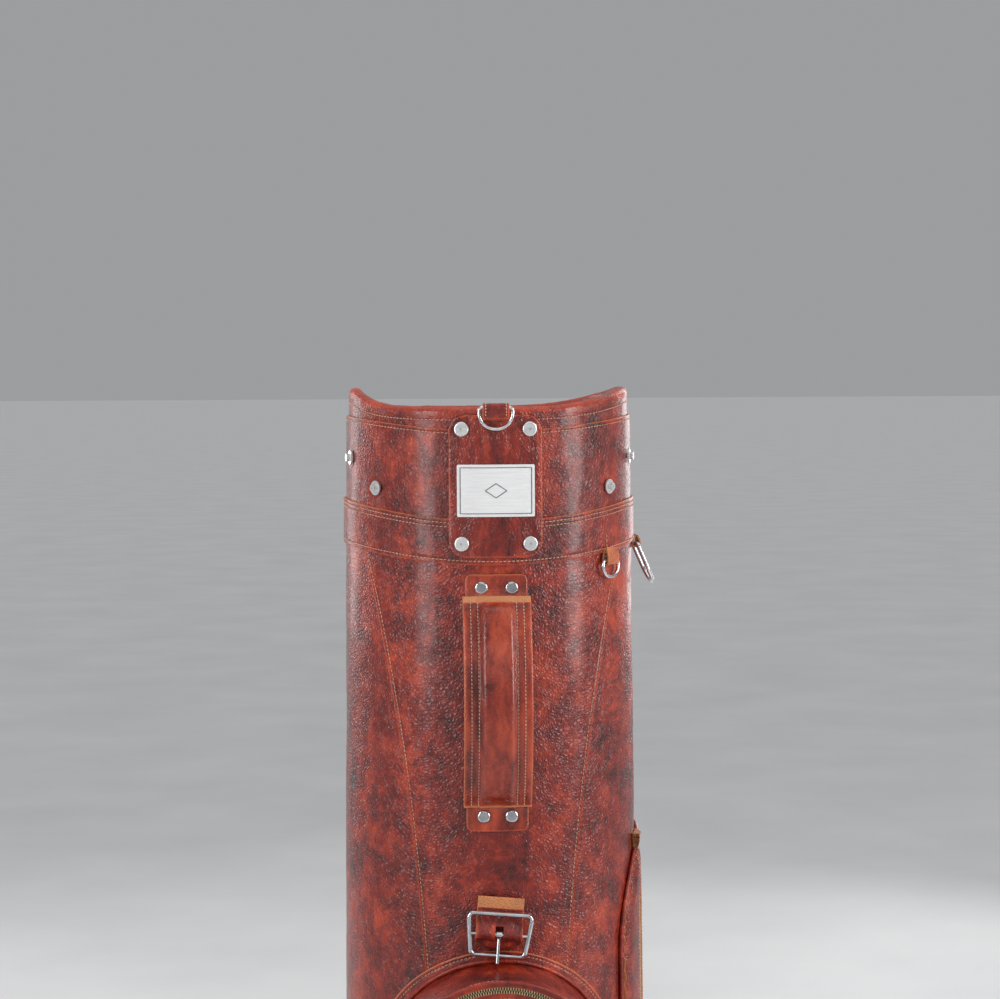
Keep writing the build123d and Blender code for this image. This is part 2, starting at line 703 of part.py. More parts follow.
def strap_band(inner, outer, width, half_angle):
    """A piece of the strap's bow: two offsets from its middle line, and its angle each way."""
    (y, z), radius, _ = strap_arc()
    spread = 2 * radius * math.tan(math.radians(half_angle))
    sector = make_face(Polyline((0, 0), (2 * radius, spread), (2 * radius, -spread), (0, 0)))
    wedge = extrude(Plane.YZ * sector, amount=REACH, both=True)
    ring = Rot(0, 90, 0) * (Cylinder(radius + outer, width) - Cylinder(radius + inner, width))
    return Pos(0, y, z) * (ring & wedge)


def shoulder_strap():
    """The strap, bowed out behind the bag, with an end folded round each swivel's bar."""
    _, _, half_angle = strap_arc()
    strap = strap_band(-2.0, 2.0, STRAP_WIDTH, half_angle)
    holes = Part()
    for z in strap_bars():
        strap += Pos(0, swivel_line(), z) * bar_across(4.6, STRAP_WIDTH)
        holes += Pos(0, swivel_line(), z) * bar_across(1.8, 60)
    return strap - holes


def shoulder_pad():
    """The padded sleeve that lies on the shoulder."""
    pad = strap_band(-9.0, 7.0, 70, 26)
    pad = fillet(pad.edges().filter_by(GeomType.CIRCLE), 5.0)
    return pad - strap_band(-2.1, 2.1, STRAP_WIDTH + 0.2, 30)


def strap_adjuster():
    """The slide that sets the strap's length."""
    (y, z), radius, _ = strap_arc()
    frame = Box(STRAP_WIDTH + 9, 24, 8.4) - Box(STRAP_WIDTH + 0.6, 17, 20)
    frame -= Box(STRAP_WIDTH + 0.6, 40, 4.6)
    frame += Pos(0, 0, 3.4) * Box(STRAP_WIDTH + 2, 3.2, 1.6)
    return Pos(0, y, z) * Rot(-40, 0, 0) * Pos(0, radius, 0) * Rot(-90, 0, 0) * frame


# ---------------------------------------------------------------- assembly
def build_nodes():
    """Every sub-part by name."""
    nodes = {
        "base_feet": base_feet(),
        "base_cup": base_cup(),
        "base_board": base_board(),
        "base_welt": base_welt(),
        "liner_tube": liner_tube(),
        "cuff_panel": cuff_panel(),
        "belt_band": belt_band(),
        "collar_strip": collar_strip(),
        "rim_roll": rim_roll(),
        "top_frame_ring": top_frame_ring(),
        "divider_bars": divider_bars(),
        "divider_sheets": divider_sheets(),
        "crest_patch": crest_patch(),
        "nameplate": nameplate(),
        "handle_strap": handle_strap(),
    }
    nodes.update(body_panels())
    for name in ("crest_patch", "belt_band", "cuff_panel", "front_panel", "handle_strap"):
        for hole in shank_holes():
            nodes[name] -= hole
    nodes.update({
        "patch_rivets": patch_rivets(),
        "handle_rivets": handle_rivets(),
        "hood_studs": hood_studs(),
        "handle_grip": handle_grip(),
        "buckle_tab": buckle_tab(),
        "buckle_frame": buckle_frame(),
        "buckle_prong": buckle_prong(),
        "ball_pocket_gusset": ball_pocket_gusset(),
        "ball_pocket_flange": ball_pocket_flange(),
        "ball_pocket_piping": ball_pocket_piping(),
        "ball_pocket_front": ball_pocket_front(),
        "ball_pocket_lid": ball_pocket_lid(),
        "ball_zip_slider": ball_slider_place() * zip_slider(),
        "ball_zip_pull": ball_slider_place() * zip_pull(),
        "side_pocket_panel": side_pocket_panel(),
        "side_pocket_piping": side_pocket_piping(),
        "side_zip_rows": side_zip_rows(),
        "side_zip_slider": side_slider_place() * zip_slider(),
        "side_zip_pull": side_slider_place() * zip_pull(),
        "top_ring_loop": top_ring_loop(),
        "top_d_ring": top_d_ring(),
        "towel_ring_tab": towel_ring_tab(),
        "towel_d_ring": towel_d_ring(),
        "side_ring_tab": side_ring_tab(),
        "side_ring": side_ring(),
        "spine_ring_tabs": spine_ring_tabs(),
        "spine_rings": spine_rings(),
        "strap_hooks": strap_hooks(),
        "upper_hook_bolt": hook_bolt(*strap_ends()[0]),
        "lower_hook_bolt": hook_bolt(*strap_ends()[1]),
        "strap_swivels": strap_swivels(),
        "shoulder_strap": shoulder_strap(),
        "shoulder_pad": shoulder_pad(),
        "strap_adjuster": strap_adjuster(),
    })
    nodes.update(zip_rows())
    return nodes


os.makedirs("parts", exist_ok=True)
for name, solid in build_nodes().items():
    export_step(solid, f"parts/{name}.step")
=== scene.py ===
import itertools
import json
import math

import bpy
import numpy as np
from mathutils import Euler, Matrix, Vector
from mathutils.bvhtree import BVHTree


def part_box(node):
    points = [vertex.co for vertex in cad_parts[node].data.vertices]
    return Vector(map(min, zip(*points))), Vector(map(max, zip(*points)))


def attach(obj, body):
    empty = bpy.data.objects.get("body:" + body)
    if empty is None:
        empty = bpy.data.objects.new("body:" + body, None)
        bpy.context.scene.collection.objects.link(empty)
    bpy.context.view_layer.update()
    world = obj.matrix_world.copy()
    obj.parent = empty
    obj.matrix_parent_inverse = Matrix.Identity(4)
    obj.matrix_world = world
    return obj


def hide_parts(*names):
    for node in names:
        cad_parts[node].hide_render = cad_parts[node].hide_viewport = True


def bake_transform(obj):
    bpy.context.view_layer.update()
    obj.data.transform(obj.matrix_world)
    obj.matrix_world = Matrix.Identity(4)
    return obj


# The looks of a leather golf staff bag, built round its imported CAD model.
#
# Metres. +Z is up and the front faces -Y. Azimuths are in radians round the bag from the front,
# positive towards +X. Leather pieces are closed sheets: a "place" turns a share across (u), a share
# along (v) and a lift off the ground layer into a point, and leather() gives it thickness, rounded
# edges, sewn grooves, wrinkles and stitches.

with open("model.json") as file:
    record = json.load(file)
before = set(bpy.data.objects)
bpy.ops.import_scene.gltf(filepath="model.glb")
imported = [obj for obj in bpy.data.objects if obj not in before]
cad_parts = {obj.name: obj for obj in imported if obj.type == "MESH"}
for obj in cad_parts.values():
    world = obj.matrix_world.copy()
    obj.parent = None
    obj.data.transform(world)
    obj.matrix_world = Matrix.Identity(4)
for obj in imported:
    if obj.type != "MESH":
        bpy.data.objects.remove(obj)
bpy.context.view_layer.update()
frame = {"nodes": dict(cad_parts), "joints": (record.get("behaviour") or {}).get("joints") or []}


# ---------------------------------------------------------------- sizes, from the frame
def anchor(joint):
    """The point that a joint turns about."""
    return Vector([j for j in frame["joints"] if j["name"] == joint][0]["pos_m"])


MM = 0.001
TAPER = 0.0083                    # radius lost per metre of height
LIFT_RADIUS = 0.126               # the side lifts are reached at this distance from the middle
HIDE = 2.2 * MM                   # thickness of the main leather
RIM_LIFT, CUFF_LIFT, BELT_TOP_LIFT, BELT_LIFT = 0.018, 0.012, 0.015, 0.013
PANEL_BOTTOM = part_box("spine_panel")[0].z
BASE_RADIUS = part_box("spine_panel")[1].y + TAPER * PANEL_BOTTOM


def crest(node, lift):
    """Height at the front of a node's saddle-shaped top edge."""
    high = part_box(node)[1]
    return high.z - lift * (high.x / LIFT_RADIUS) ** 2


RIM = crest("rim_roll", RIM_LIFT)
CUFF_TOP = crest("cuff_panel", CUFF_LIFT)
BELT_TOP = crest("belt_band", BELT_TOP_LIFT)
BELT_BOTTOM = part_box("belt_band")[0].z
CUFF_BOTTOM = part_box("cuff_panel")[0].z
COLLAR_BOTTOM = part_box("collar_strip")[0].z
YOKE = ((0.113, 0.745), (0.0735, 0.591), (0.060, 0.380))   # belt, pull and waist of the yoke's edge
YOKE_FOOT = 0.058
SPINE_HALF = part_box("spine_panel")[1].x
FOLD = anchor("pocket_lid_fold")
POCKET_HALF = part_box("ball_pocket_gusset")[1].x
POCKET_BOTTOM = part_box("ball_pocket_gusset")[0].z
POCKET_CORNER = 0.040
ZIP_RADIUS = 0.086
LID_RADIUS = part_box("ball_pocket_lid")[1].x
SIDE_LOW, SIDE_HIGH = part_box("side_pocket_panel")
SIDE_CENTRE = (SIDE_LOW.y + SIDE_HIGH.y) / 2
SIDE_HALF = (SIDE_HIGH.y - SIDE_LOW.y) / 2
SIDE_RISE = 0.102                 # height of the side pocket's arch
SIDE_SPRING = SIDE_HIGH.z - SIDE_RISE
SIDE_CORNER = 0.034
SIDE_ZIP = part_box("side_zip_rows")


def radius_at(z):
    """Outside radius of the leather at a height."""
    return BASE_RADIUS - TAPER * z


# ---------------------------------------------------------------- mesh making
def wobble(points, size, seed=0):
    """Smooth noise from -1 to 1 at each point, with features of about that size."""
    grid = np.asarray(points) / size + 1000 + 17.3 * seed
    cell = np.floor(grid).astype(np.int64)
    part = grid - cell
    part = part * part * (3 - 2 * part)
    total = np.zeros(grid.shape[:-1])
    for corner in itertools.product((0, 1), repeat=3):
        at = cell + np.array(corner)
        key = (at[..., 0] * 73856093) ^ (at[..., 1] * 19349663) ^ (at[..., 2] * 83492791)
        value = np.sin((key % 100003) * 12.9898) * 43758.5453
        total += np.prod(np.where(corner, part, 1 - part), -1) * (value - np.floor(value))
    return 2 * total - 1


def ease(value, low, high):
    """0 below low, 1 above high, and smooth between."""
    share = np.clip((value - low) / (high - low), 0, 1)
    return share * share * (3 - 2 * share)


def squared(value, power):
    """A sine or cosine pushed outward, which turns a circle into a rounded square."""
    return np.sign(value) * abs(value) ** power


def unit(vectors):
    return vectors / np.maximum(np.linalg.norm(vectors, axis=-1, keepdims=True), 1e-12)


def make_piece(name, points, quads, body, materials, replaces=(), worn=None, sharp=50):
    """One mesh object from arrays of points and quads, riding on a CAD body."""
    points = np.asarray(points, np.float32).reshape(-1, 3)
    quads = np.asarray(quads, np.int32).reshape(-1, 4)
    mesh = bpy.data.meshes.new(name)
    mesh.vertices.add(len(points))
    mesh.vertices.foreach_set("co", points.ravel())
    mesh.loops.add(quads.size)
    mesh.loops.foreach_set("vertex_index", quads.ravel())
    mesh.polygons.add(len(quads))
    mesh.polygons.foreach_set("loop_start", np.arange(0, quads.size, 4, dtype=np.int32))
    mesh.update(calc_edges=True)
    mesh.validate()
    if worn is not None:
        layer = mesh.attributes.new("worn", "FLOAT", "POINT")
        layer.data.foreach_set("value", np.asarray(worn, np.float32).ravel())
    mesh.shade_smooth()
    mesh.set_sharp_from_angle(angle=math.radians(sharp))
    obj = bpy.data.objects.new(name, mesh)
    bpy.context.scene.collection.objects.link(obj)
    for material in materials if isinstance(materials, (list, tuple)) else [materials]:
        mesh.materials.append(material)
    if body:
        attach(obj, body)
    if replaces:
        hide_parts(*replaces)
    return obj


def grid_quads(rows, cols, wrap_rows=False, wrap_cols=False, start=0):
    """Quads over a grid of points numbered row by row."""
    r, c = np.meshgrid(
        np.arange(rows if wrap_rows else rows - 1), np.arange(cols if wrap_cols else cols - 1), indexing="ij"
    )
    up, right = (r + 1) % rows, (c + 1) % cols
    quads = np.stack([r * cols + c, r * cols + right, up * cols + right, up * cols + c], -1)
    return quads.reshape(-1, 4) + start


def slab(outer, inner, wrap=False, hole=None):
    """A closed sheet between two grids of points. hole is (row, row, column, column), cut through it."""
    rows, cols = outer.shape[:2]
    count = rows * cols
    top = grid_quads(rows, cols, False, wrap)
    index = np.arange(count).reshape(rows, cols)
    walls = []

    def wall(line, flip):
        a, b = line[:-1], line[1:]
        strip = np.stack([a, b, b + count, a + count], -1)
        walls.append(strip if flip else strip[:, ::-1])

    if hole:
        r0, r1, c0, c1 = hole
        r, c = np.divmod(np.arange(len(top)), cols - 1)
        top = top[~((r >= r0) & (r < r1) & (c >= c0) & (c < c1))]
        wall(index[r0, c0:c1 + 1], True)
        wall(index[r1, c0:c1 + 1], False)
        wall(index[r0:r1 + 1, c0], False)
        wall(index[r0:r1 + 1, c1], True)
    bottom = top[:, ::-1] + count
    round_row = (lambda row: np.append(index[row], index[row, 0])) if wrap else (lambda row: index[row])
    wall(round_row(0), False)
    wall(round_row(-1), True)
    if not wrap:
        wall(index[:, 0], True)
        wall(index[:, -1], False)
    points = np.concatenate([outer.reshape(-1, 3), inner.reshape(-1, 3)])
    return points, np.concatenate([top, bottom, *walls])


def spread(length, step, marks=(), ends=True):
    """Shares of a length: even steps, with closer ones at the ends and at the marks."""
    lines = list(np.linspace(0, length, max(2, round(length / step)) + 1)) + list(marks)
    if ends:
        for gap in (0.2 * MM, 0.5 * MM, 0.9 * MM, 1.5 * MM, 2.4 * MM):
            lines += [gap, length - gap]
    kept = [0.0]
    for line in sorted(lines):
        if line - kept[-1] > 0.14 * MM and line < length - 0.14 * MM:
            kept.append(line)
    return np.array(kept + [length]) / length


# ---------------------------------------------------------------- thread
THREAD_PITCH = 3.6 * MM
SEWN = {}


def sew(group, path, out, pitch=THREAD_PITCH, length=0.78, thickness=0.42 * MM):
    """Stitches along a path of points. out points off the leather. They are joined at the end."""
    step = np.linalg.norm(np.diff(path, axis=0), axis=1)
    run = np.concatenate([[0], np.cumsum(step)])
    count = max(1, int(run[-1] / pitch))
    at = (np.arange(count) + 0.5) * run[-1] / count
    spot = np.stack([np.interp(at, run, path[:, k]) for k in range(3)], -1)
    ahead = np.stack([np.interp(at + 0.3 * MM, run, path[:, k]) for k in range(3)], -1)
    behind = np.stack([np.interp(at - 0.3 * MM, run, path[:, k]) for k in range(3)], -1)
    normal = unit(np.stack([np.interp(at, run, out[:, k]) for k in range(3)], -1))
    along = unit(ahead - behind)
    lean = 0.10 + 0.04 * wobble(spot, 0.004, 5)[:, None]
    side = np.cross(normal, along)
    along = unit(along + lean * side)
    side = np.cross(normal, along)
    SEWN.setdefault(group, []).append((spot, along, side, normal, pitch * length / 2, thickness))


def make_threads(material):
    """One mesh for each group of stitches: each stitch is a short bead that dips at its ends."""
    turn = np.arange(6) * math.tau / 6
    rings = ((-1.0, 0.35, -0.9), (-0.55, 0.95, 0.0), (0.55, 0.95, 0.0), (1.0, 0.35, -0.9))
    shape = np.array([(x, r * math.cos(t), r * math.sin(t) + dip) for x, r, dip in rings for t in turn])
    faces = grid_quads(4, 6, False, True)
    caps = np.array([(0, 3, 2, 1), (0, 5, 4, 3), (18, 19, 20, 21), (18, 21, 22, 23)])
    faces = np.concatenate([faces[:, ::-1], caps[:, ::-1]])
    for (body, place), rows in SEWN.items():
        points, quads, total = [], [], 0
        for spot, along, side, normal, half, thick in rows:
            bead = (
                spot[:, None]
                + along[:, None] * (shape[None, :, :1] * half)
                + side[:, None] * (shape[None, :, 1:2] * thick)
                + normal[:, None] * (shape[None, :, 2:] * thick)
            )
            points.append(bead.reshape(-1, 3))
            starts = total + np.arange(len(spot)) * len(shape)
            quads.append((faces[None] + starts[:, None, None]).reshape(-1, 4))
            total += len(spot) * len(shape)
        make_piece(
            f"stitches_{place}", np.concatenate(points), np.concatenate(quads), body, material, sharp=80
        )


# ---------------------------------------------------------------- leather sheets
def leather(
    name, place, size, body, material, slot, replaces=(), lift=0.0, thickness=HIDE, step=4 * MM,
    seams=(), around=False, crown=None, wrinkle=0.30 * MM, edge=0.8 * MM, worn=1.2 * MM, raw=(0, 0),
    group=None, slot_hole=None, marks=((), ()), pitch=THREAD_PITCH,
):
    """A closed sheet of leather on a place, size (across, along), with rows of stitches at its seams.

    seams are (side, distance in from that side). crown adds height at (u, v). raw is how much of the
    start and end shows undyed leather. slot_hole is (u, u, v, v), cut through.
    """
    width, height = size
    across, along = list(marks[0]), list(marks[1])
    for side, inset in seams:
        lines = [inset + k * 0.45 * MM for k in (-3, -2, -1, 0, 1, 2, 3)]
        whole = height if side in ("low", "high") else width
        lines = [whole - x if side in ("high", "right") else x for x in lines]
        (along if side in ("low", "high") else across).extend(lines)
    if slot_hole:
        across += [slot_hole[0] * width, slot_hole[1] * width]
        along += [slot_hole[2] * height, slot_hole[3] * height]
    u, v = spread(width, step, across, not around), spread(height, step, along)
    if around:
        u = u[:-1]

    def gaps(U, V):
        to = {"low": V * height, "high": (1 - V) * height, "left": U * width, "right": (1 - U) * width}
        nearest = np.minimum(to["low"], to["high"])
        if not around:
            nearest = np.minimum(nearest, np.minimum(to["left"], to["right"]))
        return to, nearest

    def outside(U, V):
        to, nearest = gaps(U, V)
        share = 1 - np.clip(nearest / edge, 0, 1)
        rise = lift + thickness - edge * (1 - np.sqrt(1 - share**2))
        if crown is not None:
            rise = rise + crown(U, V)
        for side, inset in seams:
            rise = rise - 0.34 * MM * np.exp(-(((to[side] - inset) / (0.9 * MM)) ** 2))
        spot = place(U, V, rise)
        soft = wobble(spot, 0.055, 1) + 0.45 * wobble(spot, 0.019, 2) + 0.22 * wobble(spot, 0.008, 3)
        return place(U, V, rise + wrinkle * soft * ease(nearest, 0, 7 * MM))

    U, V = np.meshgrid(u, v)
    outer, inner = outside(U, V), place(U, V, lift + 0 * U)
    hole = None
    if slot_hole:
        c0, c1 = (int(np.argmin(abs(u - x))) for x in slot_hole[:2])
        r0, r1 = (int(np.argmin(abs(v - x))) for x in slot_hole[2:])
        hole = (r0, r1, c0, c1)
    points, quads = slab(outer, inner, around, hole)
    to, nearest = gaps(U, V)
    fray = 0.35 * MM * (1 + wobble(outer, 0.006, 4))
    wear = 0.55 * np.exp(-((nearest / worn) ** 2)) + np.where(nearest < 0.25 * MM, 0.45, 0)
    for side, reach in zip(("low", "high"), raw):
        if reach:
            wear = np.maximum(wear, 1.0 * (to[side] < reach + fray))
    sides = np.where(nearest < 0.25 * MM, 1.0, 0.3)
    obj = make_piece(
        name, points, quads, body, material, replaces, np.concatenate([wear.ravel(), sides.ravel()])
    )
    for side, inset in seams:
        line = np.linspace(0, 1, max(60, int((width if side in ("low", "high") else height) / (1.5 * MM))))
        if not around:
            length = width if side in ("low", "high") else height
            margin = 2.5 * MM / length
            line = margin + line * (1 - 2 * margin)
        share = inset / (height if side in ("low", "high") else width)
        fixed = 0 * line + (1 - share if side in ("high", "right") else share)
        U, V = (line, fixed) if side in ("low", "high") else (fixed, line)
        path = outside(U, V)
        out = unit(place(U, V, 0 * U + lift + 2 * MM) - place(U, V, 0 * U + lift))
        sew(group or (body, name), path + out * 0.22 * MM, out, pitch)
    return obj


def on_bag(azimuth, z, lift):
    """Points over the bag's leather."""
    azimuth, z, lift = np.broadcast_arrays(azimuth, z, lift)
    radius = radius_at(z) + lift
    return np.stack([radius * np.sin(azimuth), -radius * np.cos(azimuth), z], -1)


def saddle(height, lift):
    """An edge round the bag: height at the front and back, and lift higher at the sides."""
    return lambda azimuth: height + lift * (np.sin(azimuth) * radius_at(height) / LIFT_RADIUS) ** 2


def rim_edge(azimuth):
    """Top of the rim: level at the front and back, with a horn at each side, the left one steeper."""
    across = np.sin(azimuth)
    return RIM + RIM_LIFT * 0.92 * (across**2) ** np.where(across > 0, 1.6, 3.6)


def wrap(left, right, low, high):
    """A place round the bag: u between two edges of azimuth by height, v between two of height."""
    def place(u, v, lift):
        z = low(0.0) + v * (high(0.0) - low(0.0))
        azimuth = left(z) + u * (right(z) - left(z))
        z = low(azimuth) + v * (high(azimuth) - low(azimuth))
        return on_bag(azimuth, z, lift)
    return place


def ribbon(path, width, across=(1, 0, 0), taper=None):
    """A place along a smooth path of points. Its face is on the side of across x direction."""
    path = np.asarray(path, float)
    across = np.asarray(across, float)
    padded = np.concatenate([2 * path[:1] - path[1:2], path, 2 * path[-1:] - path[-2:-1]])
    share = np.linspace(0, 1, 24, endpoint=False)[:, None]
    smooth = []
    for a, b, c, d in zip(padded, padded[1:], padded[2:], padded[3:]):
        smooth.append(0.5 * (
            2 * b + (c - a) * share
            + (2 * a - 5 * b + 4 * c - d) * share**2 + (3 * b - a - 3 * c + d) * share**3
        ))
    line = np.concatenate([*smooth, path[-1:]])
    run = np.concatenate([[0], np.cumsum(np.linalg.norm(np.diff(line, axis=0), axis=1))])
    run_length = run[-1]
    face = unit(np.cross(across, np.gradient(line, run, axis=0)))

    def place(u, v, lift):
        u, v, lift = np.broadcast_arrays(u, v, lift)
        at = v * run_length
        spot = np.stack([np.interp(at, run, line[:, k]) for k in range(3)], -1)
        out = np.stack([np.interp(at, run, face[:, k]) for k in range(3)], -1)
        half = width / 2 * (taper(at, run_length) if taper else 1.0)
        return spot + across * ((2 * u - 1) * half)[..., None] + unit(out) * lift[..., None]

    return place, (width, run_length)


def tube(name, path, radius, side, body, material, replaces=(), closed=True, segments=10):
    """A round cord along a path of points. side is any direction across the path at each point."""
    path = np.asarray(path, float)
    if closed:
        along = unit(np.roll(path, -1, 0) - np.roll(path, 1, 0))
    else:
        along = unit(np.gradient(path, axis=0))
    other = unit(np.cross(along, side))
    side = unit(np.cross(other, along))
    turn = np.arange(segments) * math.tau / segments
    size = radius * (1 + 0.06 * wobble(path, 0.007, 6))
    if not closed:
        size = size * np.where(np.isin(np.arange(len(path)), (0, len(path) - 1)), 0.55, 1)
    ring = np.cos(turn)[None, :, None] * side[:, None] + np.sin(turn)[None, :, None] * other[:, None]
    points = path[:, None] + ring * size[:, None, None]
    quads = grid_quads(len(path), segments, closed, True)
    if not closed:
        fan = np.array([(0, a, a + 1, a + 2) for a in range(1, segments - 2, 2)])
        last = (len(path) - 1) * segments
        quads = np.concatenate([quads, fan[:, ::-1], fan + last])
    worn = np.full(points.shape[:2], 0.25)
    return make_piece(name, points, quads, body, material, replaces, worn, 70)


# ---------------------------------------------------------------- materials
class Shader:
    """A material under construction: a Principled surface and short ways to add nodes to it."""

    def __init__(self, name, **sockets):
        self.material = bpy.data.materials.new(name)
        self.material.use_nodes = True
        self.tree = self.material.node_tree
        self.surface = self.tree.nodes["Principled BSDF"]
        for socket, value in sockets.items():
            self.surface.inputs[socket.replace("_", " ")].default_value = value
        self.where = self.node("TexCoord").outputs["Object"]

    def node(self, kind, inputs=(), **settings):
        made = self.tree.nodes.new("ShaderNode" + kind)
        for key, value in settings.items():
            setattr(made, key, value)
        for key, value in dict(inputs).items():
            if isinstance(value, bpy.types.NodeSocket):
                self.tree.links.new(value, made.inputs[key])
            else:
                made.inputs[key].default_value = value
        return made

    def noise(self, scale, detail=3.0, rough=0.55, where=None, **more):
        inputs = {"Vector": where or self.where, "Scale": scale, "Detail": detail, "Roughness": rough}
        return self.node("TexNoise", {**inputs, **more}).outputs["Fac"]

    def math(self, operation, a, b=0.0, c=0.0):
        return self.node("Math", {0: a, 1: b, 2: c}, operation=operation).outputs[0]

    def blend(self, share, a, b, how="MIX"):
        made = self.node("Mix", {0: share}, data_type="RGBA", blend_type=how)
        for socket, value in ((made.inputs[6], a), (made.inputs[7], b)):
            if isinstance(value, bpy.types.NodeSocket):
                self.tree.links.new(value, socket)
            else:
                socket.default_value = (*value, 1.0)
        return made.outputs[2]

    def ramp(self, value, *stops):
        made = self.node("ValToRGB", {0: value})
        elements = made.color_ramp.elements
        while len(elements) < len(stops):
            elements.new(0.5)
        for element, (at, colour) in zip(elements, stops):
            element.position = at
            element.color = (*colour, 1.0) if isinstance(colour, tuple) else (colour, colour, colour, 1.0)
        return made.outputs[0]

    def cells(self, scale, where, low, high):
        """The walls between random cells, from 0 on a wall to 1 inside, across a narrow band."""
        made = self.node("TexVoronoi", {"Vector": where, "Scale": scale}, feature="DISTANCE_TO_EDGE")
        return self.ramp(made.outputs["Distance"], (low, 0.0), (high, 1.0))

    def finish(self, colour=None, roughness=None, height=None, depth=1 * MM, strength=1.0):
        for socket, value in (("Base Color", colour), ("Roughness", roughness)):
            if value is not None:
                self.tree.links.new(value, self.surface.inputs[socket])
        if height is not None:
            bump = self.node("Bump", {"Height": height, "Distance": depth, "Strength": strength})
            self.tree.links.new(bump.outputs[0], self.surface.inputs["Normal"])
        return self.material


TAN = (0.62, 0.235, 0.085)
DEEP_RED = (0.050, 0.0032, 0.0018)
MID_RED = (0.190, 0.0115, 0.0050)
BRIGHT_RED = (0.480, 0.050, 0.012)


def hide(name, dark=DEEP_RED, middle=MID_RED, light=BRIGHT_RED, grain=1.0, creases=1.0, stretch=(1, 1, 1),
         gloss=0.29, coat=0.25, raw=TAN):
    """Pull-up leather: a mottled dye, pebbled grain, creases, and paler where it is bent or cut."""
    s = Shader(name, Coat_Weight=coat, Coat_Roughness=0.18, Specular_IOR_Level=0.42)
    pull = s.node("TexNoise", {"Vector": s.where, "Scale": 55.0, "Detail": 2.0}).outputs["Color"]
    bent = s.node("VectorMath", {0: pull, 1: (0.012, 0.012, 0.012), 2: s.where}, operation="MULTIPLY_ADD")
    long = s.node("Mapping", {"Vector": bent.outputs[0], "Scale": stretch}).outputs[0]
    mottle = s.noise(38.0, 6.0, 0.62, long)
    speck = s.noise(150.0, 4.0, 0.6, long)
    cloud = s.noise(8.0, 2.0, 0.5)
    pores = s.noise(900.0, 2.0, 0.6)
    pebble = s.cells(330.0, bent.outputs[0], 0.0, 0.42)

    def folds(scale):
        made = {"Vector": long, "Scale": scale, "Detail": 3.0, "Roughness": 0.5}
        ridges = s.node("TexNoise", made, noise_type="RIDGED_MULTIFRACTAL").outputs["Fac"]
        return s.ramp(ridges, (0.25, 0.0), (1.0, 1.0))

    broad, tight = folds(62.0), folds(150.0)
    tone = s.math("MULTIPLY_ADD", cloud, 0.22, s.math("MULTIPLY", mottle, 0.50))
    tone = s.math("MULTIPLY_ADD", speck, 0.28, tone)
    tone = s.math("MULTIPLY_ADD", tight, 0.035 * creases, tone)
    colour = s.ramp(tone, (0.40, dark), (0.51, middle), (0.66, light))
    worn = s.node("Attribute", attribute_name="worn").outputs["Fac"]
    rubbed = s.math("MULTIPLY", s.math("MULTIPLY_ADD", mottle, 0.8, 0.35), worn)
    polished = tuple(min(1, 1.35 * x) for x in light)
    colour = s.blend(s.ramp(rubbed, (0.10, 0.0), (0.62, 0.80)), colour, polished)
    cut = s.ramp(worn, (0.86, 0.0), (0.94, 1.0))
    fibre = s.blend(mottle, raw, tuple(0.62 * x for x in raw))
    colour = s.blend(cut, colour, fibre)
    rough = s.math("MULTIPLY_ADD", mottle, 0.22, gloss - 0.12)
    rough = s.math("MULTIPLY_ADD", s.math("SUBTRACT", 1.0, pebble), 0.10, rough)
    rough = s.math("MULTIPLY_ADD", s.ramp(worn, (0.86, 0.0), (0.94, 1.0)), 0.3, rough)
    height = s.math("MULTIPLY", pebble, 0.44 * grain)
    height = s.math("MULTIPLY_ADD", broad, -0.80 * creases, height)
    height = s.math("MULTIPLY_ADD", tight, -0.46 * creases, height)
    height = s.math("MULTIPLY_ADD", mottle, 0.50 * creases, height)
    height = s.math("MULTIPLY_ADD", pores, 0.08 * grain, height)
    return s.finish(colour, rough, height, 1.1 * MM, 0.9)


def chrome(name, base=(0.80, 0.80, 0.82), rough=0.13):
    """Plated metal with fine scratches and faint tarnish."""
    s = Shader(name, Metallic=1.0)
    scratch = s.noise(260.0, 6.0, 0.75, s.node("Mapping", {"Vector": s.where, "Scale": (1, 1, 9)}).outputs[0])
    cloud = s.noise(120.0, 4.0)
    colour = s.ramp(cloud, (0.30, tuple(0.72 * x for x in base)), (0.62, base))
    roughness = s.math("MULTIPLY_ADD", scratch, 0.16, rough - 0.04)
    return s.finish(colour, roughness, scratch, 0.05 * MM, 0.35)


def plate_metal(name, pale=0.93, metallic=0.35):
    """Satin plate, brushed across."""
    s = Shader(name, Metallic=metallic)
    across = s.node("Mapping", {"Vector": s.where, "Scale": (0.06, 1, 2.5)}).outputs[0]
    brushed = s.noise(420.0, 5.0, 0.7, across)
    colour = s.ramp(brushed, (0.30, (0.86 * pale,) * 3), (0.70, (pale,) * 3))
    return s.finish(colour, s.math("MULTIPLY_ADD", brushed, 0.20, 0.24), brushed, 0.04 * MM, 0.4)


def zip_metal(name):
    """Pale brass, mottled a little darker at random."""
    s = Shader(name, Metallic=1.0)
    cloud = s.noise(700.0, 4.0)
    colour = s.ramp(cloud, (0.30, (0.50, 0.36, 0.17)), (0.62, (0.86, 0.70, 0.42)))
    return s.finish(colour, s.math("MULTIPLY_ADD", cloud, 0.2, 0.20), cloud, 0.05 * MM, 0.5)


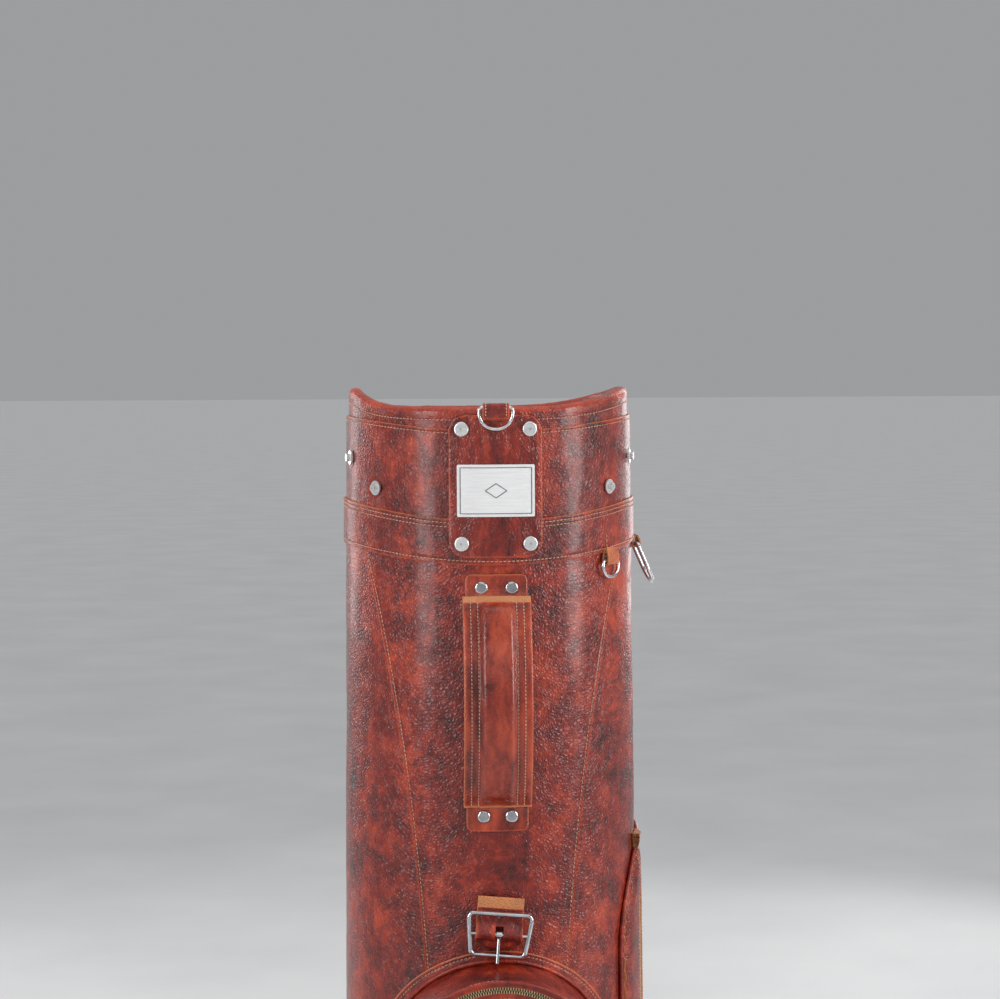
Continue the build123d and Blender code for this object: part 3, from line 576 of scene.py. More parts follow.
def woven(name, dark, light, scale=620.0, rough=0.75, sheen=0.2):
    """Cloth with a plain weave, from two crossing sets of ribs."""
    s = Shader(name, Sheen_Weight=sheen, Sheen_Roughness=0.5)
    axes = s.node("SeparateXYZ", {0: s.where}).outputs
    rib = s.math("SINE", s.math("MULTIPLY", s.math("ADD", axes[0], axes[1]), scale * math.tau / 2))
    rib_up = s.math("SINE", s.math("MULTIPLY", axes[2], scale * math.tau / 2))
    weave = s.math("MULTIPLY_ADD", s.math("MULTIPLY", rib, rib_up), 0.5, 0.5)
    fuzz = s.noise(1500.0, 4.0, 0.7)
    stain = s.noise(16.0, 5.0, 0.6)
    value = s.math("MULTIPLY_ADD", weave, 0.45, s.math("MULTIPLY", fuzz, 0.30))
    colour = s.ramp(s.math("MULTIPLY_ADD", stain, 0.35, value), (0.28, dark), (0.78, light))
    height = s.math("MULTIPLY_ADD", fuzz, 0.5, weave)
    return s.finish(colour, s.math("MULTIPLY_ADD", stain, 0.2, rough - 0.1), height, 0.22 * MM, 0.8)


def plush(name, dark, light):
    """Short pile: soft tufts with a strong sheen."""
    s = Shader(name, Sheen_Weight=0.8, Sheen_Roughness=0.4)
    tufts, lay = s.noise(900.0, 5.0, 0.7), s.noise(60.0, 4.0)
    shade = s.math("MULTIPLY_ADD", lay, 0.5, s.math("MULTIPLY", tufts, 0.5))
    colour = s.ramp(shade, (0.32, dark), (0.66, light))
    return s.finish(colour, s.math("MULTIPLY_ADD", lay, 0.15, 0.8), tufts, 0.8 * MM, 0.9)


def moulded(name, dark, light, rough=0.5, grain=700.0):
    """Moulded plastic, rubber or board with a fine stipple and scuffs."""
    s = Shader(name)
    stipple, scuff = s.noise(grain, 3.0, 0.6), s.noise(35.0, 7.0, 0.7)
    shade = s.math("MULTIPLY_ADD", scuff, 0.6, s.math("MULTIPLY", stipple, 0.4))
    colour = s.ramp(shade, (0.36, dark), (0.68, light))
    return s.finish(colour, s.math("MULTIPLY_ADD", scuff, 0.3, rough - 0.15), stipple, 0.12 * MM, 0.6)


def thread_material(name):
    """Waxed thread with a twist."""
    s = Shader(name, Sheen_Weight=0.2)
    twist = s.noise(2600.0, 2.0, 0.6)
    worn = s.noise(45.0, 5.0, 0.6)
    mix = s.math("MULTIPLY_ADD", worn, 0.6, s.math("MULTIPLY", twist, 0.4))
    colour = s.ramp(mix, (0.36, (0.36, 0.15, 0.09)), (0.62, (0.72, 0.44, 0.30)))
    return s.finish(colour, s.math("MULTIPLY_ADD", twist, 0.2, 0.45), twist, 0.15 * MM, 0.7)


MAIN = hide("main_hide")
CUFF = hide("cuff_hide", creases=0.75, stretch=(1, 1, 0.8), gloss=0.34)
TRIM = hide("trim_hide", grain=0.8, creases=0.6, gloss=0.32)
PATCH = hide("patch_hide", creases=0.9, stretch=(1.5, 1.5, 0.45), gloss=0.28, coat=0.35)
GRIP = hide("handle_hide", (0.085, 0.006, 0.003), (0.26, 0.026, 0.010), (0.46, 0.065, 0.020),
            grain=0.6, creases=0.55, stretch=(1.4, 1.4, 0.4), gloss=0.25, coat=0.40)
STRAP = hide("strap_hide", grain=0.7, creases=0.6, stretch=(1, 1, 0.5), gloss=0.33)
TAB = hide(
    "tab_hide", (0.20, 0.030, 0.010), (0.40, 0.085, 0.028), (0.62, 0.20, 0.07), creases=0.5, gloss=0.36
)
CHROME = chrome("chrome_plate")
DARK_CHROME = chrome("mirror_plate", (0.62, 0.63, 0.66), 0.08)
PLATE = plate_metal("satin_plate")
CAPS = plate_metal("satin_caps", 0.80, 0.80)
BRASS = zip_metal("zip_brass")
TAPE = woven("zip_tape", (0.006, 0.006, 0.007), (0.030, 0.028, 0.028), 900.0, 0.8)
CLOTH = woven("divider_weave", (0.012, 0.013, 0.018), (0.050, 0.054, 0.068), 420.0, 0.8)
PLUSH = plush("divider_pile", (0.018, 0.019, 0.026), (0.090, 0.095, 0.12))
BOARD = moulded("liner_board", (0.010, 0.010, 0.012), (0.034, 0.034, 0.038), 0.7, 300.0)
PLASTIC = moulded("black_plastic", (0.008, 0.008, 0.009), (0.030, 0.030, 0.032), 0.42)
RUBBER = moulded("foot_rubber", (0.010, 0.010, 0.010), (0.035, 0.034, 0.033), 0.8, 420.0)
WOOD = moulded("base_ply", (0.16, 0.085, 0.035), (0.34, 0.21, 0.10), 0.7, 160.0)
THREAD = thread_material("waxed_thread")


def dress(material, *nodes):
    """Give CAD nodes that stay in view their material."""
    for node in nodes:
        mesh = frame["nodes"][node].data
        mesh.materials.clear()
        mesh.materials.append(material)


dress(CAPS, "patch_rivets", "hood_studs")
dress(CHROME, "top_d_ring", "towel_d_ring", "side_ring", "spine_rings")
dress(CHROME, "strap_hooks", "strap_swivels", "strap_adjuster", "upper_hook_bolt", "lower_hook_bolt")
dress(DARK_CHROME, "handle_rivets", "buckle_frame", "buckle_prong")
dress(BRASS, "ball_zip_slider", "ball_zip_pull", "side_zip_slider", "side_zip_pull")
dress(PLATE, "nameplate")
dress(PLASTIC, "base_cup", "top_frame_ring")
dress(RUBBER, "base_feet")
dress(WOOD, "base_board")
dress(BOARD, "liner_tube")


# ---------------------------------------------------------------- body
def yoke_half(z):
    """Half of the front panel's width at a height."""
    t = np.linspace(0, 1, 60)
    (x0, z0), (x1, z1), (x2, z2) = YOKE
    x = (1 - t) ** 2 * x0 + 2 * t * (1 - t) * x1 + t * t * x2
    up = (1 - t) ** 2 * z0 + 2 * t * (1 - t) * z1 + t * t * z2
    return np.interp(z, [0.02, *up[::-1], 0.775], [YOKE_FOOT, *x[::-1], 0.1207])


def yoke(z):
    return np.arcsin(np.clip(yoke_half(z) / radius_at(z), 0, 0.97))


def spine(z):
    return math.pi - np.arcsin(SPINE_HALF / radius_at(z))


def flat(height):
    return lambda azimuth: height + 0 * azimuth


def body_panels():
    """Front, sides and spine, from the base welt to under the belt."""
    top = saddle(0.753, BELT_LIFT)
    foot = flat(PANEL_BOTTOM)
    height = 0.753 - PANEL_BOTTOM
    plans = (
        ("front_panel", lambda z: -yoke(z), yoke, 0.17, (("left", 3 * MM), ("right", 3 * MM)), 0.25 * MM),
        ("right_side_panel", yoke, spine, 0.26, (), 0.0),
        ("left_side_panel", lambda z: -spine(z), lambda z: -yoke(z), 0.26, (), 0.0),
        ("spine_panel", spine, lambda z: math.tau - spine(z), 0.108,
         (("left", 3 * MM), ("right", 3 * MM), ("left", 7 * MM), ("right", 7 * MM)), 0.25 * MM),
    )
    for name, left, right, width, seams, proud in plans:
        leather(
            "skin_" + name, wrap(left, right, foot, top), (width, height), "bag", MAIN,
            "main_leather", (name,),
            lift=-HIDE, thickness=HIDE + proud, seams=seams, wrinkle=0.55 * MM, group=("bag", "body"),
            step=3.6 * MM, edge=0.9 * MM,
        )


def all_round(low, high):
    return wrap(lambda z: -math.pi, lambda z: math.pi, low, high)


# azimuth in degrees and height of each snap stud
STUDS = ((52, 0.799), (-52, 0.799), (74, 0.824), (-74, 0.824), (128, 0.805), (-128, 0.805))


def cuff_belt_and_collar():
    round_bag = math.tau * radius_at(BELT_TOP)
    cuff_place = all_round(saddle(CUFF_BOTTOM, BELT_LIFT), saddle(CUFF_TOP, CUFF_LIFT))

    def pressed(u, v):
        """The hide is squeezed down under each stud's flange."""
        spot, down = cuff_place(u, v, 0 * u), 0
        for azimuth, z in STUDS:
            away = np.linalg.norm(spot - on_bag(math.radians(azimuth), z, 0), axis=-1)
            down = down + 1.1 * MM * (1 - ease(away, 6 * MM, 10 * MM))
        return -down

    leather(
        "skin_cuff", cuff_place,
        (round_bag, CUFF_TOP - CUFF_BOTTOM), "bag", CUFF, "main_leather", ("cuff_panel",), lift=-HIDE,
        seams=(("high", 3.4 * MM),), around=True, wrinkle=0.5 * MM, group=("bag", "cuff"), step=3.4 * MM,
        crown=pressed,
    )
    leather(
        "skin_belt", all_round(saddle(BELT_BOTTOM, BELT_LIFT), saddle(BELT_TOP, BELT_TOP_LIFT)),
        (round_bag, BELT_TOP - BELT_BOTTOM), "bag", CUFF, "trim_leather", ("belt_band",), lift=0.1 * MM,
        seams=(("high", 3.2 * MM), ("high", 6.6 * MM), ("low", 3.4 * MM)), around=True, wrinkle=0.35 * MM,
        group=("bag", "cuff"), step=3.4 * MM, edge=1.0 * MM,
    )
    leather(
        "skin_collar", all_round(saddle(COLLAR_BOTTOM, CUFF_LIFT), lambda a: rim_edge(a) - 4 * MM),
        (round_bag, RIM - 4 * MM - COLLAR_BOTTOM), "bag", CUFF, "trim_leather", ("collar_strip",),
        lift=-2 * HIDE - 0.2 * MM, seams=(("high", 7.2 * MM),), around=True, wrinkle=0.3 * MM,
        group=("bag", "cuff"), step=3.4 * MM,
    )


def belt_bar():
    """The short upright row of stitches on the belt above the towel ring's tab."""
    z = np.linspace(0.738, 0.759, 20)
    azimuth = math.radians(48.5)
    ground = on_bag(azimuth, z, HIDE + 0.1 * MM)
    out = unit(on_bag(azimuth, z, 1.0) - ground)
    sew(("bag", "cuff"), ground + out * 0.5 * MM, out)


def rim_roll():
    """The padded roll round the mouth: leather turned over the moulded ring and sewn below."""
    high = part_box("rim_roll")[1]
    middle, half, tall = high.x - 3.6 * MM, 6.2 * MM, 6.2 * MM
    azimuth = np.arange(420) * math.tau / 420
    turn = np.arange(22) * math.tau / 22
    A, T = np.meshgrid(azimuth, turn)
    radius = middle + half * squared(np.cos(T), 0.8)
    z = rim_edge(A) - tall + tall * squared(np.sin(T), 0.8)
    points = np.stack([radius * np.sin(A), -radius * np.cos(A), z], -1)
    out = np.stack([np.cos(T) * np.sin(A), -np.cos(T) * np.cos(A), np.sin(T)], -1)
    soft = 0.40 * wobble(points, 0.016, 7) + 0.22 * wobble(points, 0.007, 8)
    points = points + out * (soft * MM)[..., None]
    worn = 0.25 + 0.35 * np.clip(np.sin(T), 0, 1) + 0.12 * wobble(points, 0.012, 9)
    roll = make_piece(
        "skin_rim_roll", points, grid_quads(22, 420, True, True), "bag", CUFF,
        ("rim_roll",), worn, 80
    )


def corner_half(width, height, corner):
    """Half width along a piece with round corners, as a function of v."""
    def half(v):
        from_end = np.clip(np.minimum(v, 1 - v) * height, 0, corner)
        return width / 2 - corner + np.sqrt(np.maximum(corner**2 - (corner - from_end) ** 2, 0))
    return half


def on_front(half, bottom, top):
    """A place on the front of the bag, with its width by height."""
    def place(u, v, lift):
        z = bottom + v * (top - bottom)
        azimuth = np.arcsin(np.clip((2 * u - 1) * half(v) / radius_at(z), -1, 1))
        return on_bag(azimuth, z, lift)
    return place


def crest_patch():
    """The patch behind the plate, pulled into creases by its rivets and the ring's loop."""
    low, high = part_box("crest_patch")
    width, height = high.x - low.x, high.z - low.z
    rivets = [(x, z) for x in (-1, 1) for z in (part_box("patch_rivets")[0].z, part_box("patch_rivets")[1].z)]
    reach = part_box("patch_rivets")[1].x - 6 * MM

    def pulled(u, v):
        x, z = (2 * u - 1) * width / 2, low.z + v * height
        under_ring = 0.9 * MM * np.sin(x / (2.1 * MM) + 1.4 * np.sin(z / (9 * MM)))
        under_ring = under_ring * np.exp(-(((z - high.z + 16 * MM) / (13 * MM)) ** 2))
        under_ring = under_ring * np.exp(-((x / (17 * MM)) ** 2))
        fold = 0.45 * MM * np.exp(-(((abs(x) - width / 2 + 5 * MM) / (3 * MM)) ** 2))
        dimple = 0 * x
        for side, level in rivets:
            inward = 6 * MM if level < low.z + height / 2 else -6 * MM
            away = np.hypot(x - side * reach, z - (level + inward))
            angle = np.arctan2(z - level, x - side * reach)
            rays = 0.35 * MM * np.sin(7 * angle) * np.exp(-(((away - 10 * MM) / (5 * MM)) ** 2))
            dimple = dimple + rays - 1.0 * MM * np.exp(-((away / (6.5 * MM)) ** 2))
        return under_ring * 0.8 + fold + dimple

    leather(
        "skin_crest_patch", on_front(corner_half(width, height, 14 * MM), low.z, high.z), (width, height),
        "bag",
        PATCH, "patch_leather", ("crest_patch",), lift=2.5 * MM, crown=pulled, wrinkle=0.35 * MM,
        step=1.7 * MM,
        edge=1.0 * MM, worn=2.0 * MM,
    )


def plate_ornament():
    """A thin engraved border and a lozenge on the blank plate."""
    low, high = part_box("nameplate")
    lift = -(low.y) - radius_at((low.z + high.z) / 2)
    inset, line, proud = 2.6 * MM, 0.5 * MM, 0.12 * MM
    middle = (low.z + high.z) / 2
    points, quads = [], []

    def stroke(x0, z0, x1, z1):
        """A straight raised line between two spots on the plate."""
        ends = np.array([(x0, z0), (x1, z1)])
        along = unit(ends[1] - ends[0])
        side = np.array([-along[1], along[0]]) * line / 2
        flat_line = [ends[0] + (ends[1] - ends[0]) * t for t in np.linspace(0, 1, 13)]
        rows = []
        for height in (proud, -proud):
            for way in (-1, 1):
                spots = np.array([p + way * side for p in flat_line])
                azimuth = np.arcsin(spots[:, 0] / (radius_at(spots[:, 1]) + lift))
                rows.append(on_bag(azimuth, spots[:, 1], lift + height))
        grid = np.stack([rows[0], rows[1], rows[3], rows[2]])
        quads.append(grid_quads(4, 13, True, False, sum(len(p) for p in points)))
        points.append(grid.reshape(-1, 3))

    right, top, bottom = high.x - inset, high.z - inset, low.z + inset
    for x in (-right, right):
        stroke(x, bottom, x, top)
    for z in (bottom, top):
        stroke(-right, z, right, z)
    wide, tall = 9 * MM, 6 * MM
    for sx, sz in itertools.product((-1, 1), (-1, 1)):
        stroke(sx * wide, middle, 0, middle + sz * tall)
    make_piece(
        "plate_border", np.concatenate(points), np.concatenate(quads), "bag", BOARD, sharp=30
    )


def straight_loop(name, points, width, across, body, material, slot, replaces, thickness=1.8 * MM, **more):
    """A strap along a path of points, given on its middle surface."""
    place, size = ribbon(points, width, across)
    return leather(
        name, place, size, body, material, slot, replaces, lift=-thickness / 2, thickness=thickness,
        step=1.6 * MM, wrinkle=0.15 * MM, edge=0.6 * MM, worn=1.4 * MM, **more,
    )


def top_ring_loop():
    """The loop over the crest that holds the top ring."""
    bar = anchor("top_ring_swing")
    low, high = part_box("top_ring_loop")
    y, z = bar.y, bar.z
    shape = (
        (4.4, -10.5), (3.1, -6), (2.7, 0), (1.9, 2.0), (0, 2.7),
        (-1.9, 2.0), (-2.7, -0.2), (-2.4, -4), (-0.4, -9.6),
    )
    path = [(0, y + out * MM, z + up * MM) for out, up in shape]
    straight_loop(
        "skin_top_loop", path, high.x - low.x + 1 * MM, (-1, 0, 0), "bag", PATCH, "patch_leather",
        ("top_ring_loop",),
        seams=(("left", 2.4 * MM), ("right", 2.4 * MM)), pitch=2.6 * MM,
    )


def frame_at(azimuth, z, lift):
    """A spot on the bag with its directions across, up and out."""
    spot = on_bag(azimuth, z, lift)
    ahead = on_bag(azimuth, z + MM, lift)
    up = unit(ahead - spot)
    across = np.array([math.cos(azimuth), math.sin(azimuth), 0.0])
    return spot, across, up, np.cross(across, up)


def ring_tab(
    name, node, azimuth, bar_z, lift, bar_radius, tail, material, slot, flip=1, width=None,
):
    """A strap end folded round a ring's bar, with both its layers sewn together."""
    spot, across, up, out = frame_at(azimuth, bar_z, lift)
    h = bar_radius + 1.3 * MM
    t = 0.95 * MM
    shape = (
        (tail, -t), (0.55 * tail, -0.75 * h), (0, -h),
        (-0.72 * h, -0.72 * h), (-h, 0), (-0.72 * h, 0.72 * h), (0, h),
        (0.5 * tail, 0.85 * h), (0.8 * tail, 1.3 * t), (tail, t),
    )
    path = [spot + up * flip * a + out * b for a, b in shape]
    return straight_loop(
        name, path, width, -across * flip, "bag", material, slot, (node,) if node else (), thickness=1.7 * MM,
        seams=(("left", 2.2 * MM), ("right", 2.2 * MM)), pitch=2.8 * MM, group=("bag", "tabs"),
    )


def ring_tabs():
    towel = anchor("towel_ring_swing")
    azimuth = math.atan2(towel.x, -towel.y)
    lift = math.hypot(towel.x, towel.y) - radius_at(towel.z)
    ring_tab("skin_towel_tab", "towel_ring_tab", azimuth, towel.z, lift, 1.5 * MM, 11 * MM, TAB,
             "trim_leather",
             width=15.5 * MM)
    side = anchor("side_ring_swing")
    azimuth = math.atan2(side.x, -side.y)
    lift = math.hypot(side.x, side.y) - radius_at(side.z)
    ring_tab("skin_side_tab", "side_ring_tab", azimuth, side.z, lift, 1.8 * MM, 7 * MM, TAB, "trim_leather",
             width=24 * MM)
    low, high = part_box("spine_ring_tabs")
    upper = ring_tab("skin_spine_tab_upper", None, math.pi, high.z - 7.6 * MM, 5.4 * MM, 2.0 * MM, 9 * MM,
                     TRIM,
                     "trim_leather", width=24 * MM)
    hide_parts("spine_ring_tabs")
    ring_tab("skin_spine_tab_lower", None, math.pi, low.z + 7.6 * MM, 5.4 * MM, 2.0 * MM, 9 * MM, TRIM,
             "trim_leather", flip=-1, width=24 * MM)


# ---------------------------------------------------------------- handle
def handle():
    low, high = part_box("handle_grip")
    width = high.x - low.x
    tab_low, tab_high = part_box("handle_strap")
    tab_width = tab_high.x - tab_low.x
    grip_out = 4.5 * MM
    foot = -(radius_at(low.z) + 2.6 * MM)
    bow = foot - low.y - grip_out
    middle, half = (low.z + high.z) / 2, (high.z - low.z) / 2
    radius = (half**2 + bow**2) / (2 * bow)
    reach = math.asin(half / radius)
    arc = [
        (0, foot - bow + radius - radius * math.cos(a), middle + radius * math.sin(a))
        for a in np.linspace(reach, -reach, 13)
    ]
    
    def on_leather(z):
        return (0, -(radius_at(z) + 1.6 * MM), z)
    
    top = [on_leather(z) for z in (tab_high.z, tab_high.z - 7 * MM, tab_high.z - 13 * MM)]
    end = [on_leather(z) for z in (tab_low.z + 14 * MM, tab_low.z + 7 * MM, tab_low.z)]
    place, size = ribbon([*top, *arc, *end], tab_width, (-1, 0, 0))
    corner = 5 * MM

    def rounded(u, v, lift):
        """The strap, with round corners and its tabs bent to the bag's curve."""
        v, u = np.broadcast_arrays(v, u)
        from_end = np.clip(np.minimum(v, 1 - v) * size[1], 0, corner)
        trim = corner - np.sqrt(np.maximum(corner**2 - (corner - from_end) ** 2, 0))
        spot = place(0.5 + (u - 0.5) * (1 - 2 * trim / size[0]), v, lift)
        flatness = 1 - ease(np.minimum(v, 1 - v) * size[1], 12 * MM, 30 * MM)
        sag = radius_at(spot[..., 2]) - np.sqrt(radius_at(spot[..., 2]) ** 2 - spot[..., 0] ** 2)
        spot[..., 1] += sag * flatness
        return spot

    leather(
        "skin_handle_strap", rounded, size, "bag", GRIP, "handle_leather", ("handle_strap",), lift=-1.2 * MM,
        thickness=2.4 * MM, step=2.4 * MM, wrinkle=0.25 * MM, edge=0.9 * MM, worn=1.6 * MM,
    )
    place, size = ribbon(arc, width, (-1, 0, 0))
    rows = (6.3 * MM, 12.3 * MM)

    def raised(u, v):
        """The filled middle, which runs out before the grip's ends."""
        side = abs(2 * u - 1) * width / 2
        share = 1 - ease(side, 11.0 * MM, 15.5 * MM)
        ends = ease(np.minimum(v, 1 - v) * size[1], 4 * MM, 16 * MM)
        return (4.6 * MM * share - 0.6 * MM * ease(side, 24 * MM, 28.5 * MM)) * ends + 0.25 * MM * share

    leather(
        "skin_handle_grip", place, size, "bag", GRIP, "handle_leather", ("handle_grip",), lift=-3.6 * MM,
        thickness=5.2 * MM, crown=raised, step=2.0 * MM, wrinkle=0.28 * MM, edge=1.3 * MM, worn=2.6 * MM,
        seams=tuple((side, row) for side in ("left", "right") for row in rows), raw=(7.2 * MM, 2.2 * MM),
        pitch=3.1 * MM, group=("bag", "handle"),
    )


# ---------------------------------------------------------------- buckle
def buckle_tab():
    """The strap end that is folded round the buckle's bar, with a slot for the prong."""
    bar = anchor("buckle_swing")
    axis = Vector([j for j in frame["joints"] if j["name"] == "buckle_swing"][0]["axis"])
    across = -np.array(axis)
    up = np.cross(across, (0, 1, 0))
    up = unit(up * math.copysign(1, up[2]))
    out = np.array((0.0, -1.0, 0.0))
    shape = (
        (30.2, -8.2), (23, -8.2), (16.5, -7.2), (10, -4.0), (4.5, 0.6), (1.0, 2.7), (-1.6, 2.2), (-3.7, 0.2),
        (-5.6, -2.2), (-8.6, -2.7), (-11.6, -4.0), (-12.3, -6.6),
        (-9.5, -9.2), (-4, -10.4), (4, -10.9), (16, -10.9),
        (29, -10.9),
    )
    path = [np.array(bar) + up * a * MM + out * b * MM for a, b in shape]
    place, size = ribbon(path, 39 * MM, -across)

    def tongue(u, v, lift):
        """The fold hangs lower in its middle than at its sides."""
        spot = place(u, v, lift)
        x = (2 * np.asarray(u) - 1) ** 2
        below = np.maximum(-((spot - np.array(bar)) @ up) - 3.5 * MM, 0)
        return spot + up * (0.62 * x * below)[..., None]

    slot_half = 3.3 * MM / size[0]
    leather(
        "skin_buckle_tab", tongue, size, "bag", PATCH, "trim_leather", ("buckle_tab",), lift=-1.0 * MM,
        thickness=2.0 * MM, step=1.5 * MM, wrinkle=0.25 * MM, edge=0.7 * MM, worn=1.6 * MM, raw=(9.6 * MM, 0),
        slot_hole=(0.5 - slot_half, 0.5 + slot_half, 25.5 * MM / size[1], 38.5 * MM / size[1]),
        group=("bag", "tabs"), seams=(),
    )
    spot = np.array([
        np.array(bar) + up * 16 * MM + out * -5.8 * MM + across * x * MM for x in np.linspace(-16, 16, 24)
    ])
    lean = unit(np.tile(out * 0.92 + up * 0.38, (24, 1)))
    sew(("bag", "tabs"), spot + lean * 0.3 * MM, lean, 2.8 * MM)


# ---------------------------------------------------------------- ball pocket
POCKET_FACE = FOLD.y                      # the outside of the pocket's front


def outline(count=360):
    """The ball pocket's outline seen from the front, anticlockwise: points (x, z) and outward normals."""
    half, corner = POCKET_HALF, POCKET_CORNER
    arch = np.linspace(0, math.pi, 240)
    left = np.linspace(math.pi, 1.5 * math.pi, 60)
    right = np.linspace(-math.pi / 2, 0, 60)
    
    def round_at(x, z, r, a):
        return np.stack([x + r * np.cos(a), z + r * np.sin(a)], -1)
    
    line = np.concatenate([
        round_at(0, FOLD.z, half, arch),
        round_at(corner - half, POCKET_BOTTOM + corner, corner, left),
        round_at(half - corner, POCKET_BOTTOM + corner, corner, right),
        [[half, FOLD.z]],
    ])
    run = np.concatenate([[0], np.cumsum(np.linalg.norm(np.diff(line, axis=0), axis=1))])
    keep = np.concatenate([[True], np.diff(run) > 1e-6])
    at = np.arange(count) * run[-1] / count
    spots = np.stack([np.interp(at, run[keep], line[keep, k]) for k in (0, 1)], -1)
    along = unit(np.roll(spots, -1, 0) - np.roll(spots, 1, 0))
    return spots, np.stack([along[:, 1], -along[:, 0]], -1), run[-1]


EDGE, EDGE_OUT, EDGE_RUN = outline()


def edge_at(u, grow):
    """A spot on the outline, grown outwards: x and z."""
    u, grow = np.broadcast_arrays(u, grow)
    at = (u % 1.0) * len(EDGE)
    index = np.append(np.arange(len(EDGE)), len(EDGE))
    closed = np.concatenate([EDGE, EDGE[:1]])
    normals = np.concatenate([EDGE_OUT, EDGE_OUT[:1]])
    x = np.interp(at, index, closed[:, 0]) + grow * np.interp(at, index, normals[:, 0])
    z = np.interp(at, index, closed[:, 1]) + grow * np.interp(at, index, normals[:, 1])
    return x, z


def bag_y(x, z, lift):
    """Y of the bag's front at a spot seen from the front."""
    return -np.sqrt(np.maximum((radius_at(z) + lift) ** 2 - x**2, 1e-8))


def pocket_crown(x, z):
    """How far the filled pocket's front stands out: nothing round the zip, most in the middle."""
    flat_x, flat_z = np.ravel(x), np.ravel(z)
    away = np.full(flat_x.shape, 9.0)
    for ex, ez in EDGE[::3]:
        away = np.minimum(away, np.hypot(flat_x - ex, flat_z - ez))
    return (7.5 * MM * ease(away, 9 * MM, 62 * MM)).reshape(np.shape(x))


def zip_teeth(name, group_body, radius, angles, inward, replaces=()):
    """Teeth round the ball pocket's zip, as small tapered blocks set across the tape."""
    tip, root = (-1.1 * MM, 1.9 * MM) if not inward else (1.1 * MM, -1.9 * MM)
    half = 0.62 * MM
    block = np.array([
        (tip, -0.7 * half), (tip, 0.7 * half), (root, half), (root, -half),
    ])
    points, quads = [], []
    for n, angle in enumerate(angles):
        out = np.array((math.cos(angle), 0, math.sin(angle)))
        along = np.array((-math.sin(angle), 0, math.cos(angle)))
        centre = np.array(FOLD) + out * radius + np.array((0, 1.15 * MM, 0))
        for depth, shrink in ((-0.95 * MM, 0.72), (-0.6 * MM, 1.0), (0.6 * MM, 1.0)):
            for r, a in block:
                points.append(
                    centre + out * r * (0.5 + 0.5 * shrink) + along * a * shrink + np.array((0, depth, 0))
                )
        base = n * 12
        faces = [(0, 1, 2, 3), (11, 10, 9, 8)]
        for level in (0, 4):
            faces += [
                (level + k, level + 4 + k, level + 4 + (k + 1) % 4, level + (k + 1) % 4) for k in range(4)
            ]
        quads += [tuple(base + f for f in face) for face in faces]
    return make_piece(name, points, quads, group_body, BRASS, replaces, sharp=25)


def zip_tape(name, body, inner, outer, start, end):
    """A strip of black tape round part of the zip."""
    def place(u, v, lift):
        angle = end + u * (start - end)
        radius = inner + v * (outer - inner)
        u, v, lift = np.broadcast_arrays(u, v, lift)
        return np.stack([
            FOLD.x + radius * np.cos(angle), POCKET_FACE + 2.2 * MM - lift, FOLD.z + radius * np.sin(angle)
        ], -1)
    return leather(name, place, ((end - start) * outer, outer - inner), body, TAPE, "divider_cloth",
                   thickness=0.5 * MM, step=2.5 * MM, wrinkle=0.0, edge=0.2 * MM, worn=0.1 * MM)


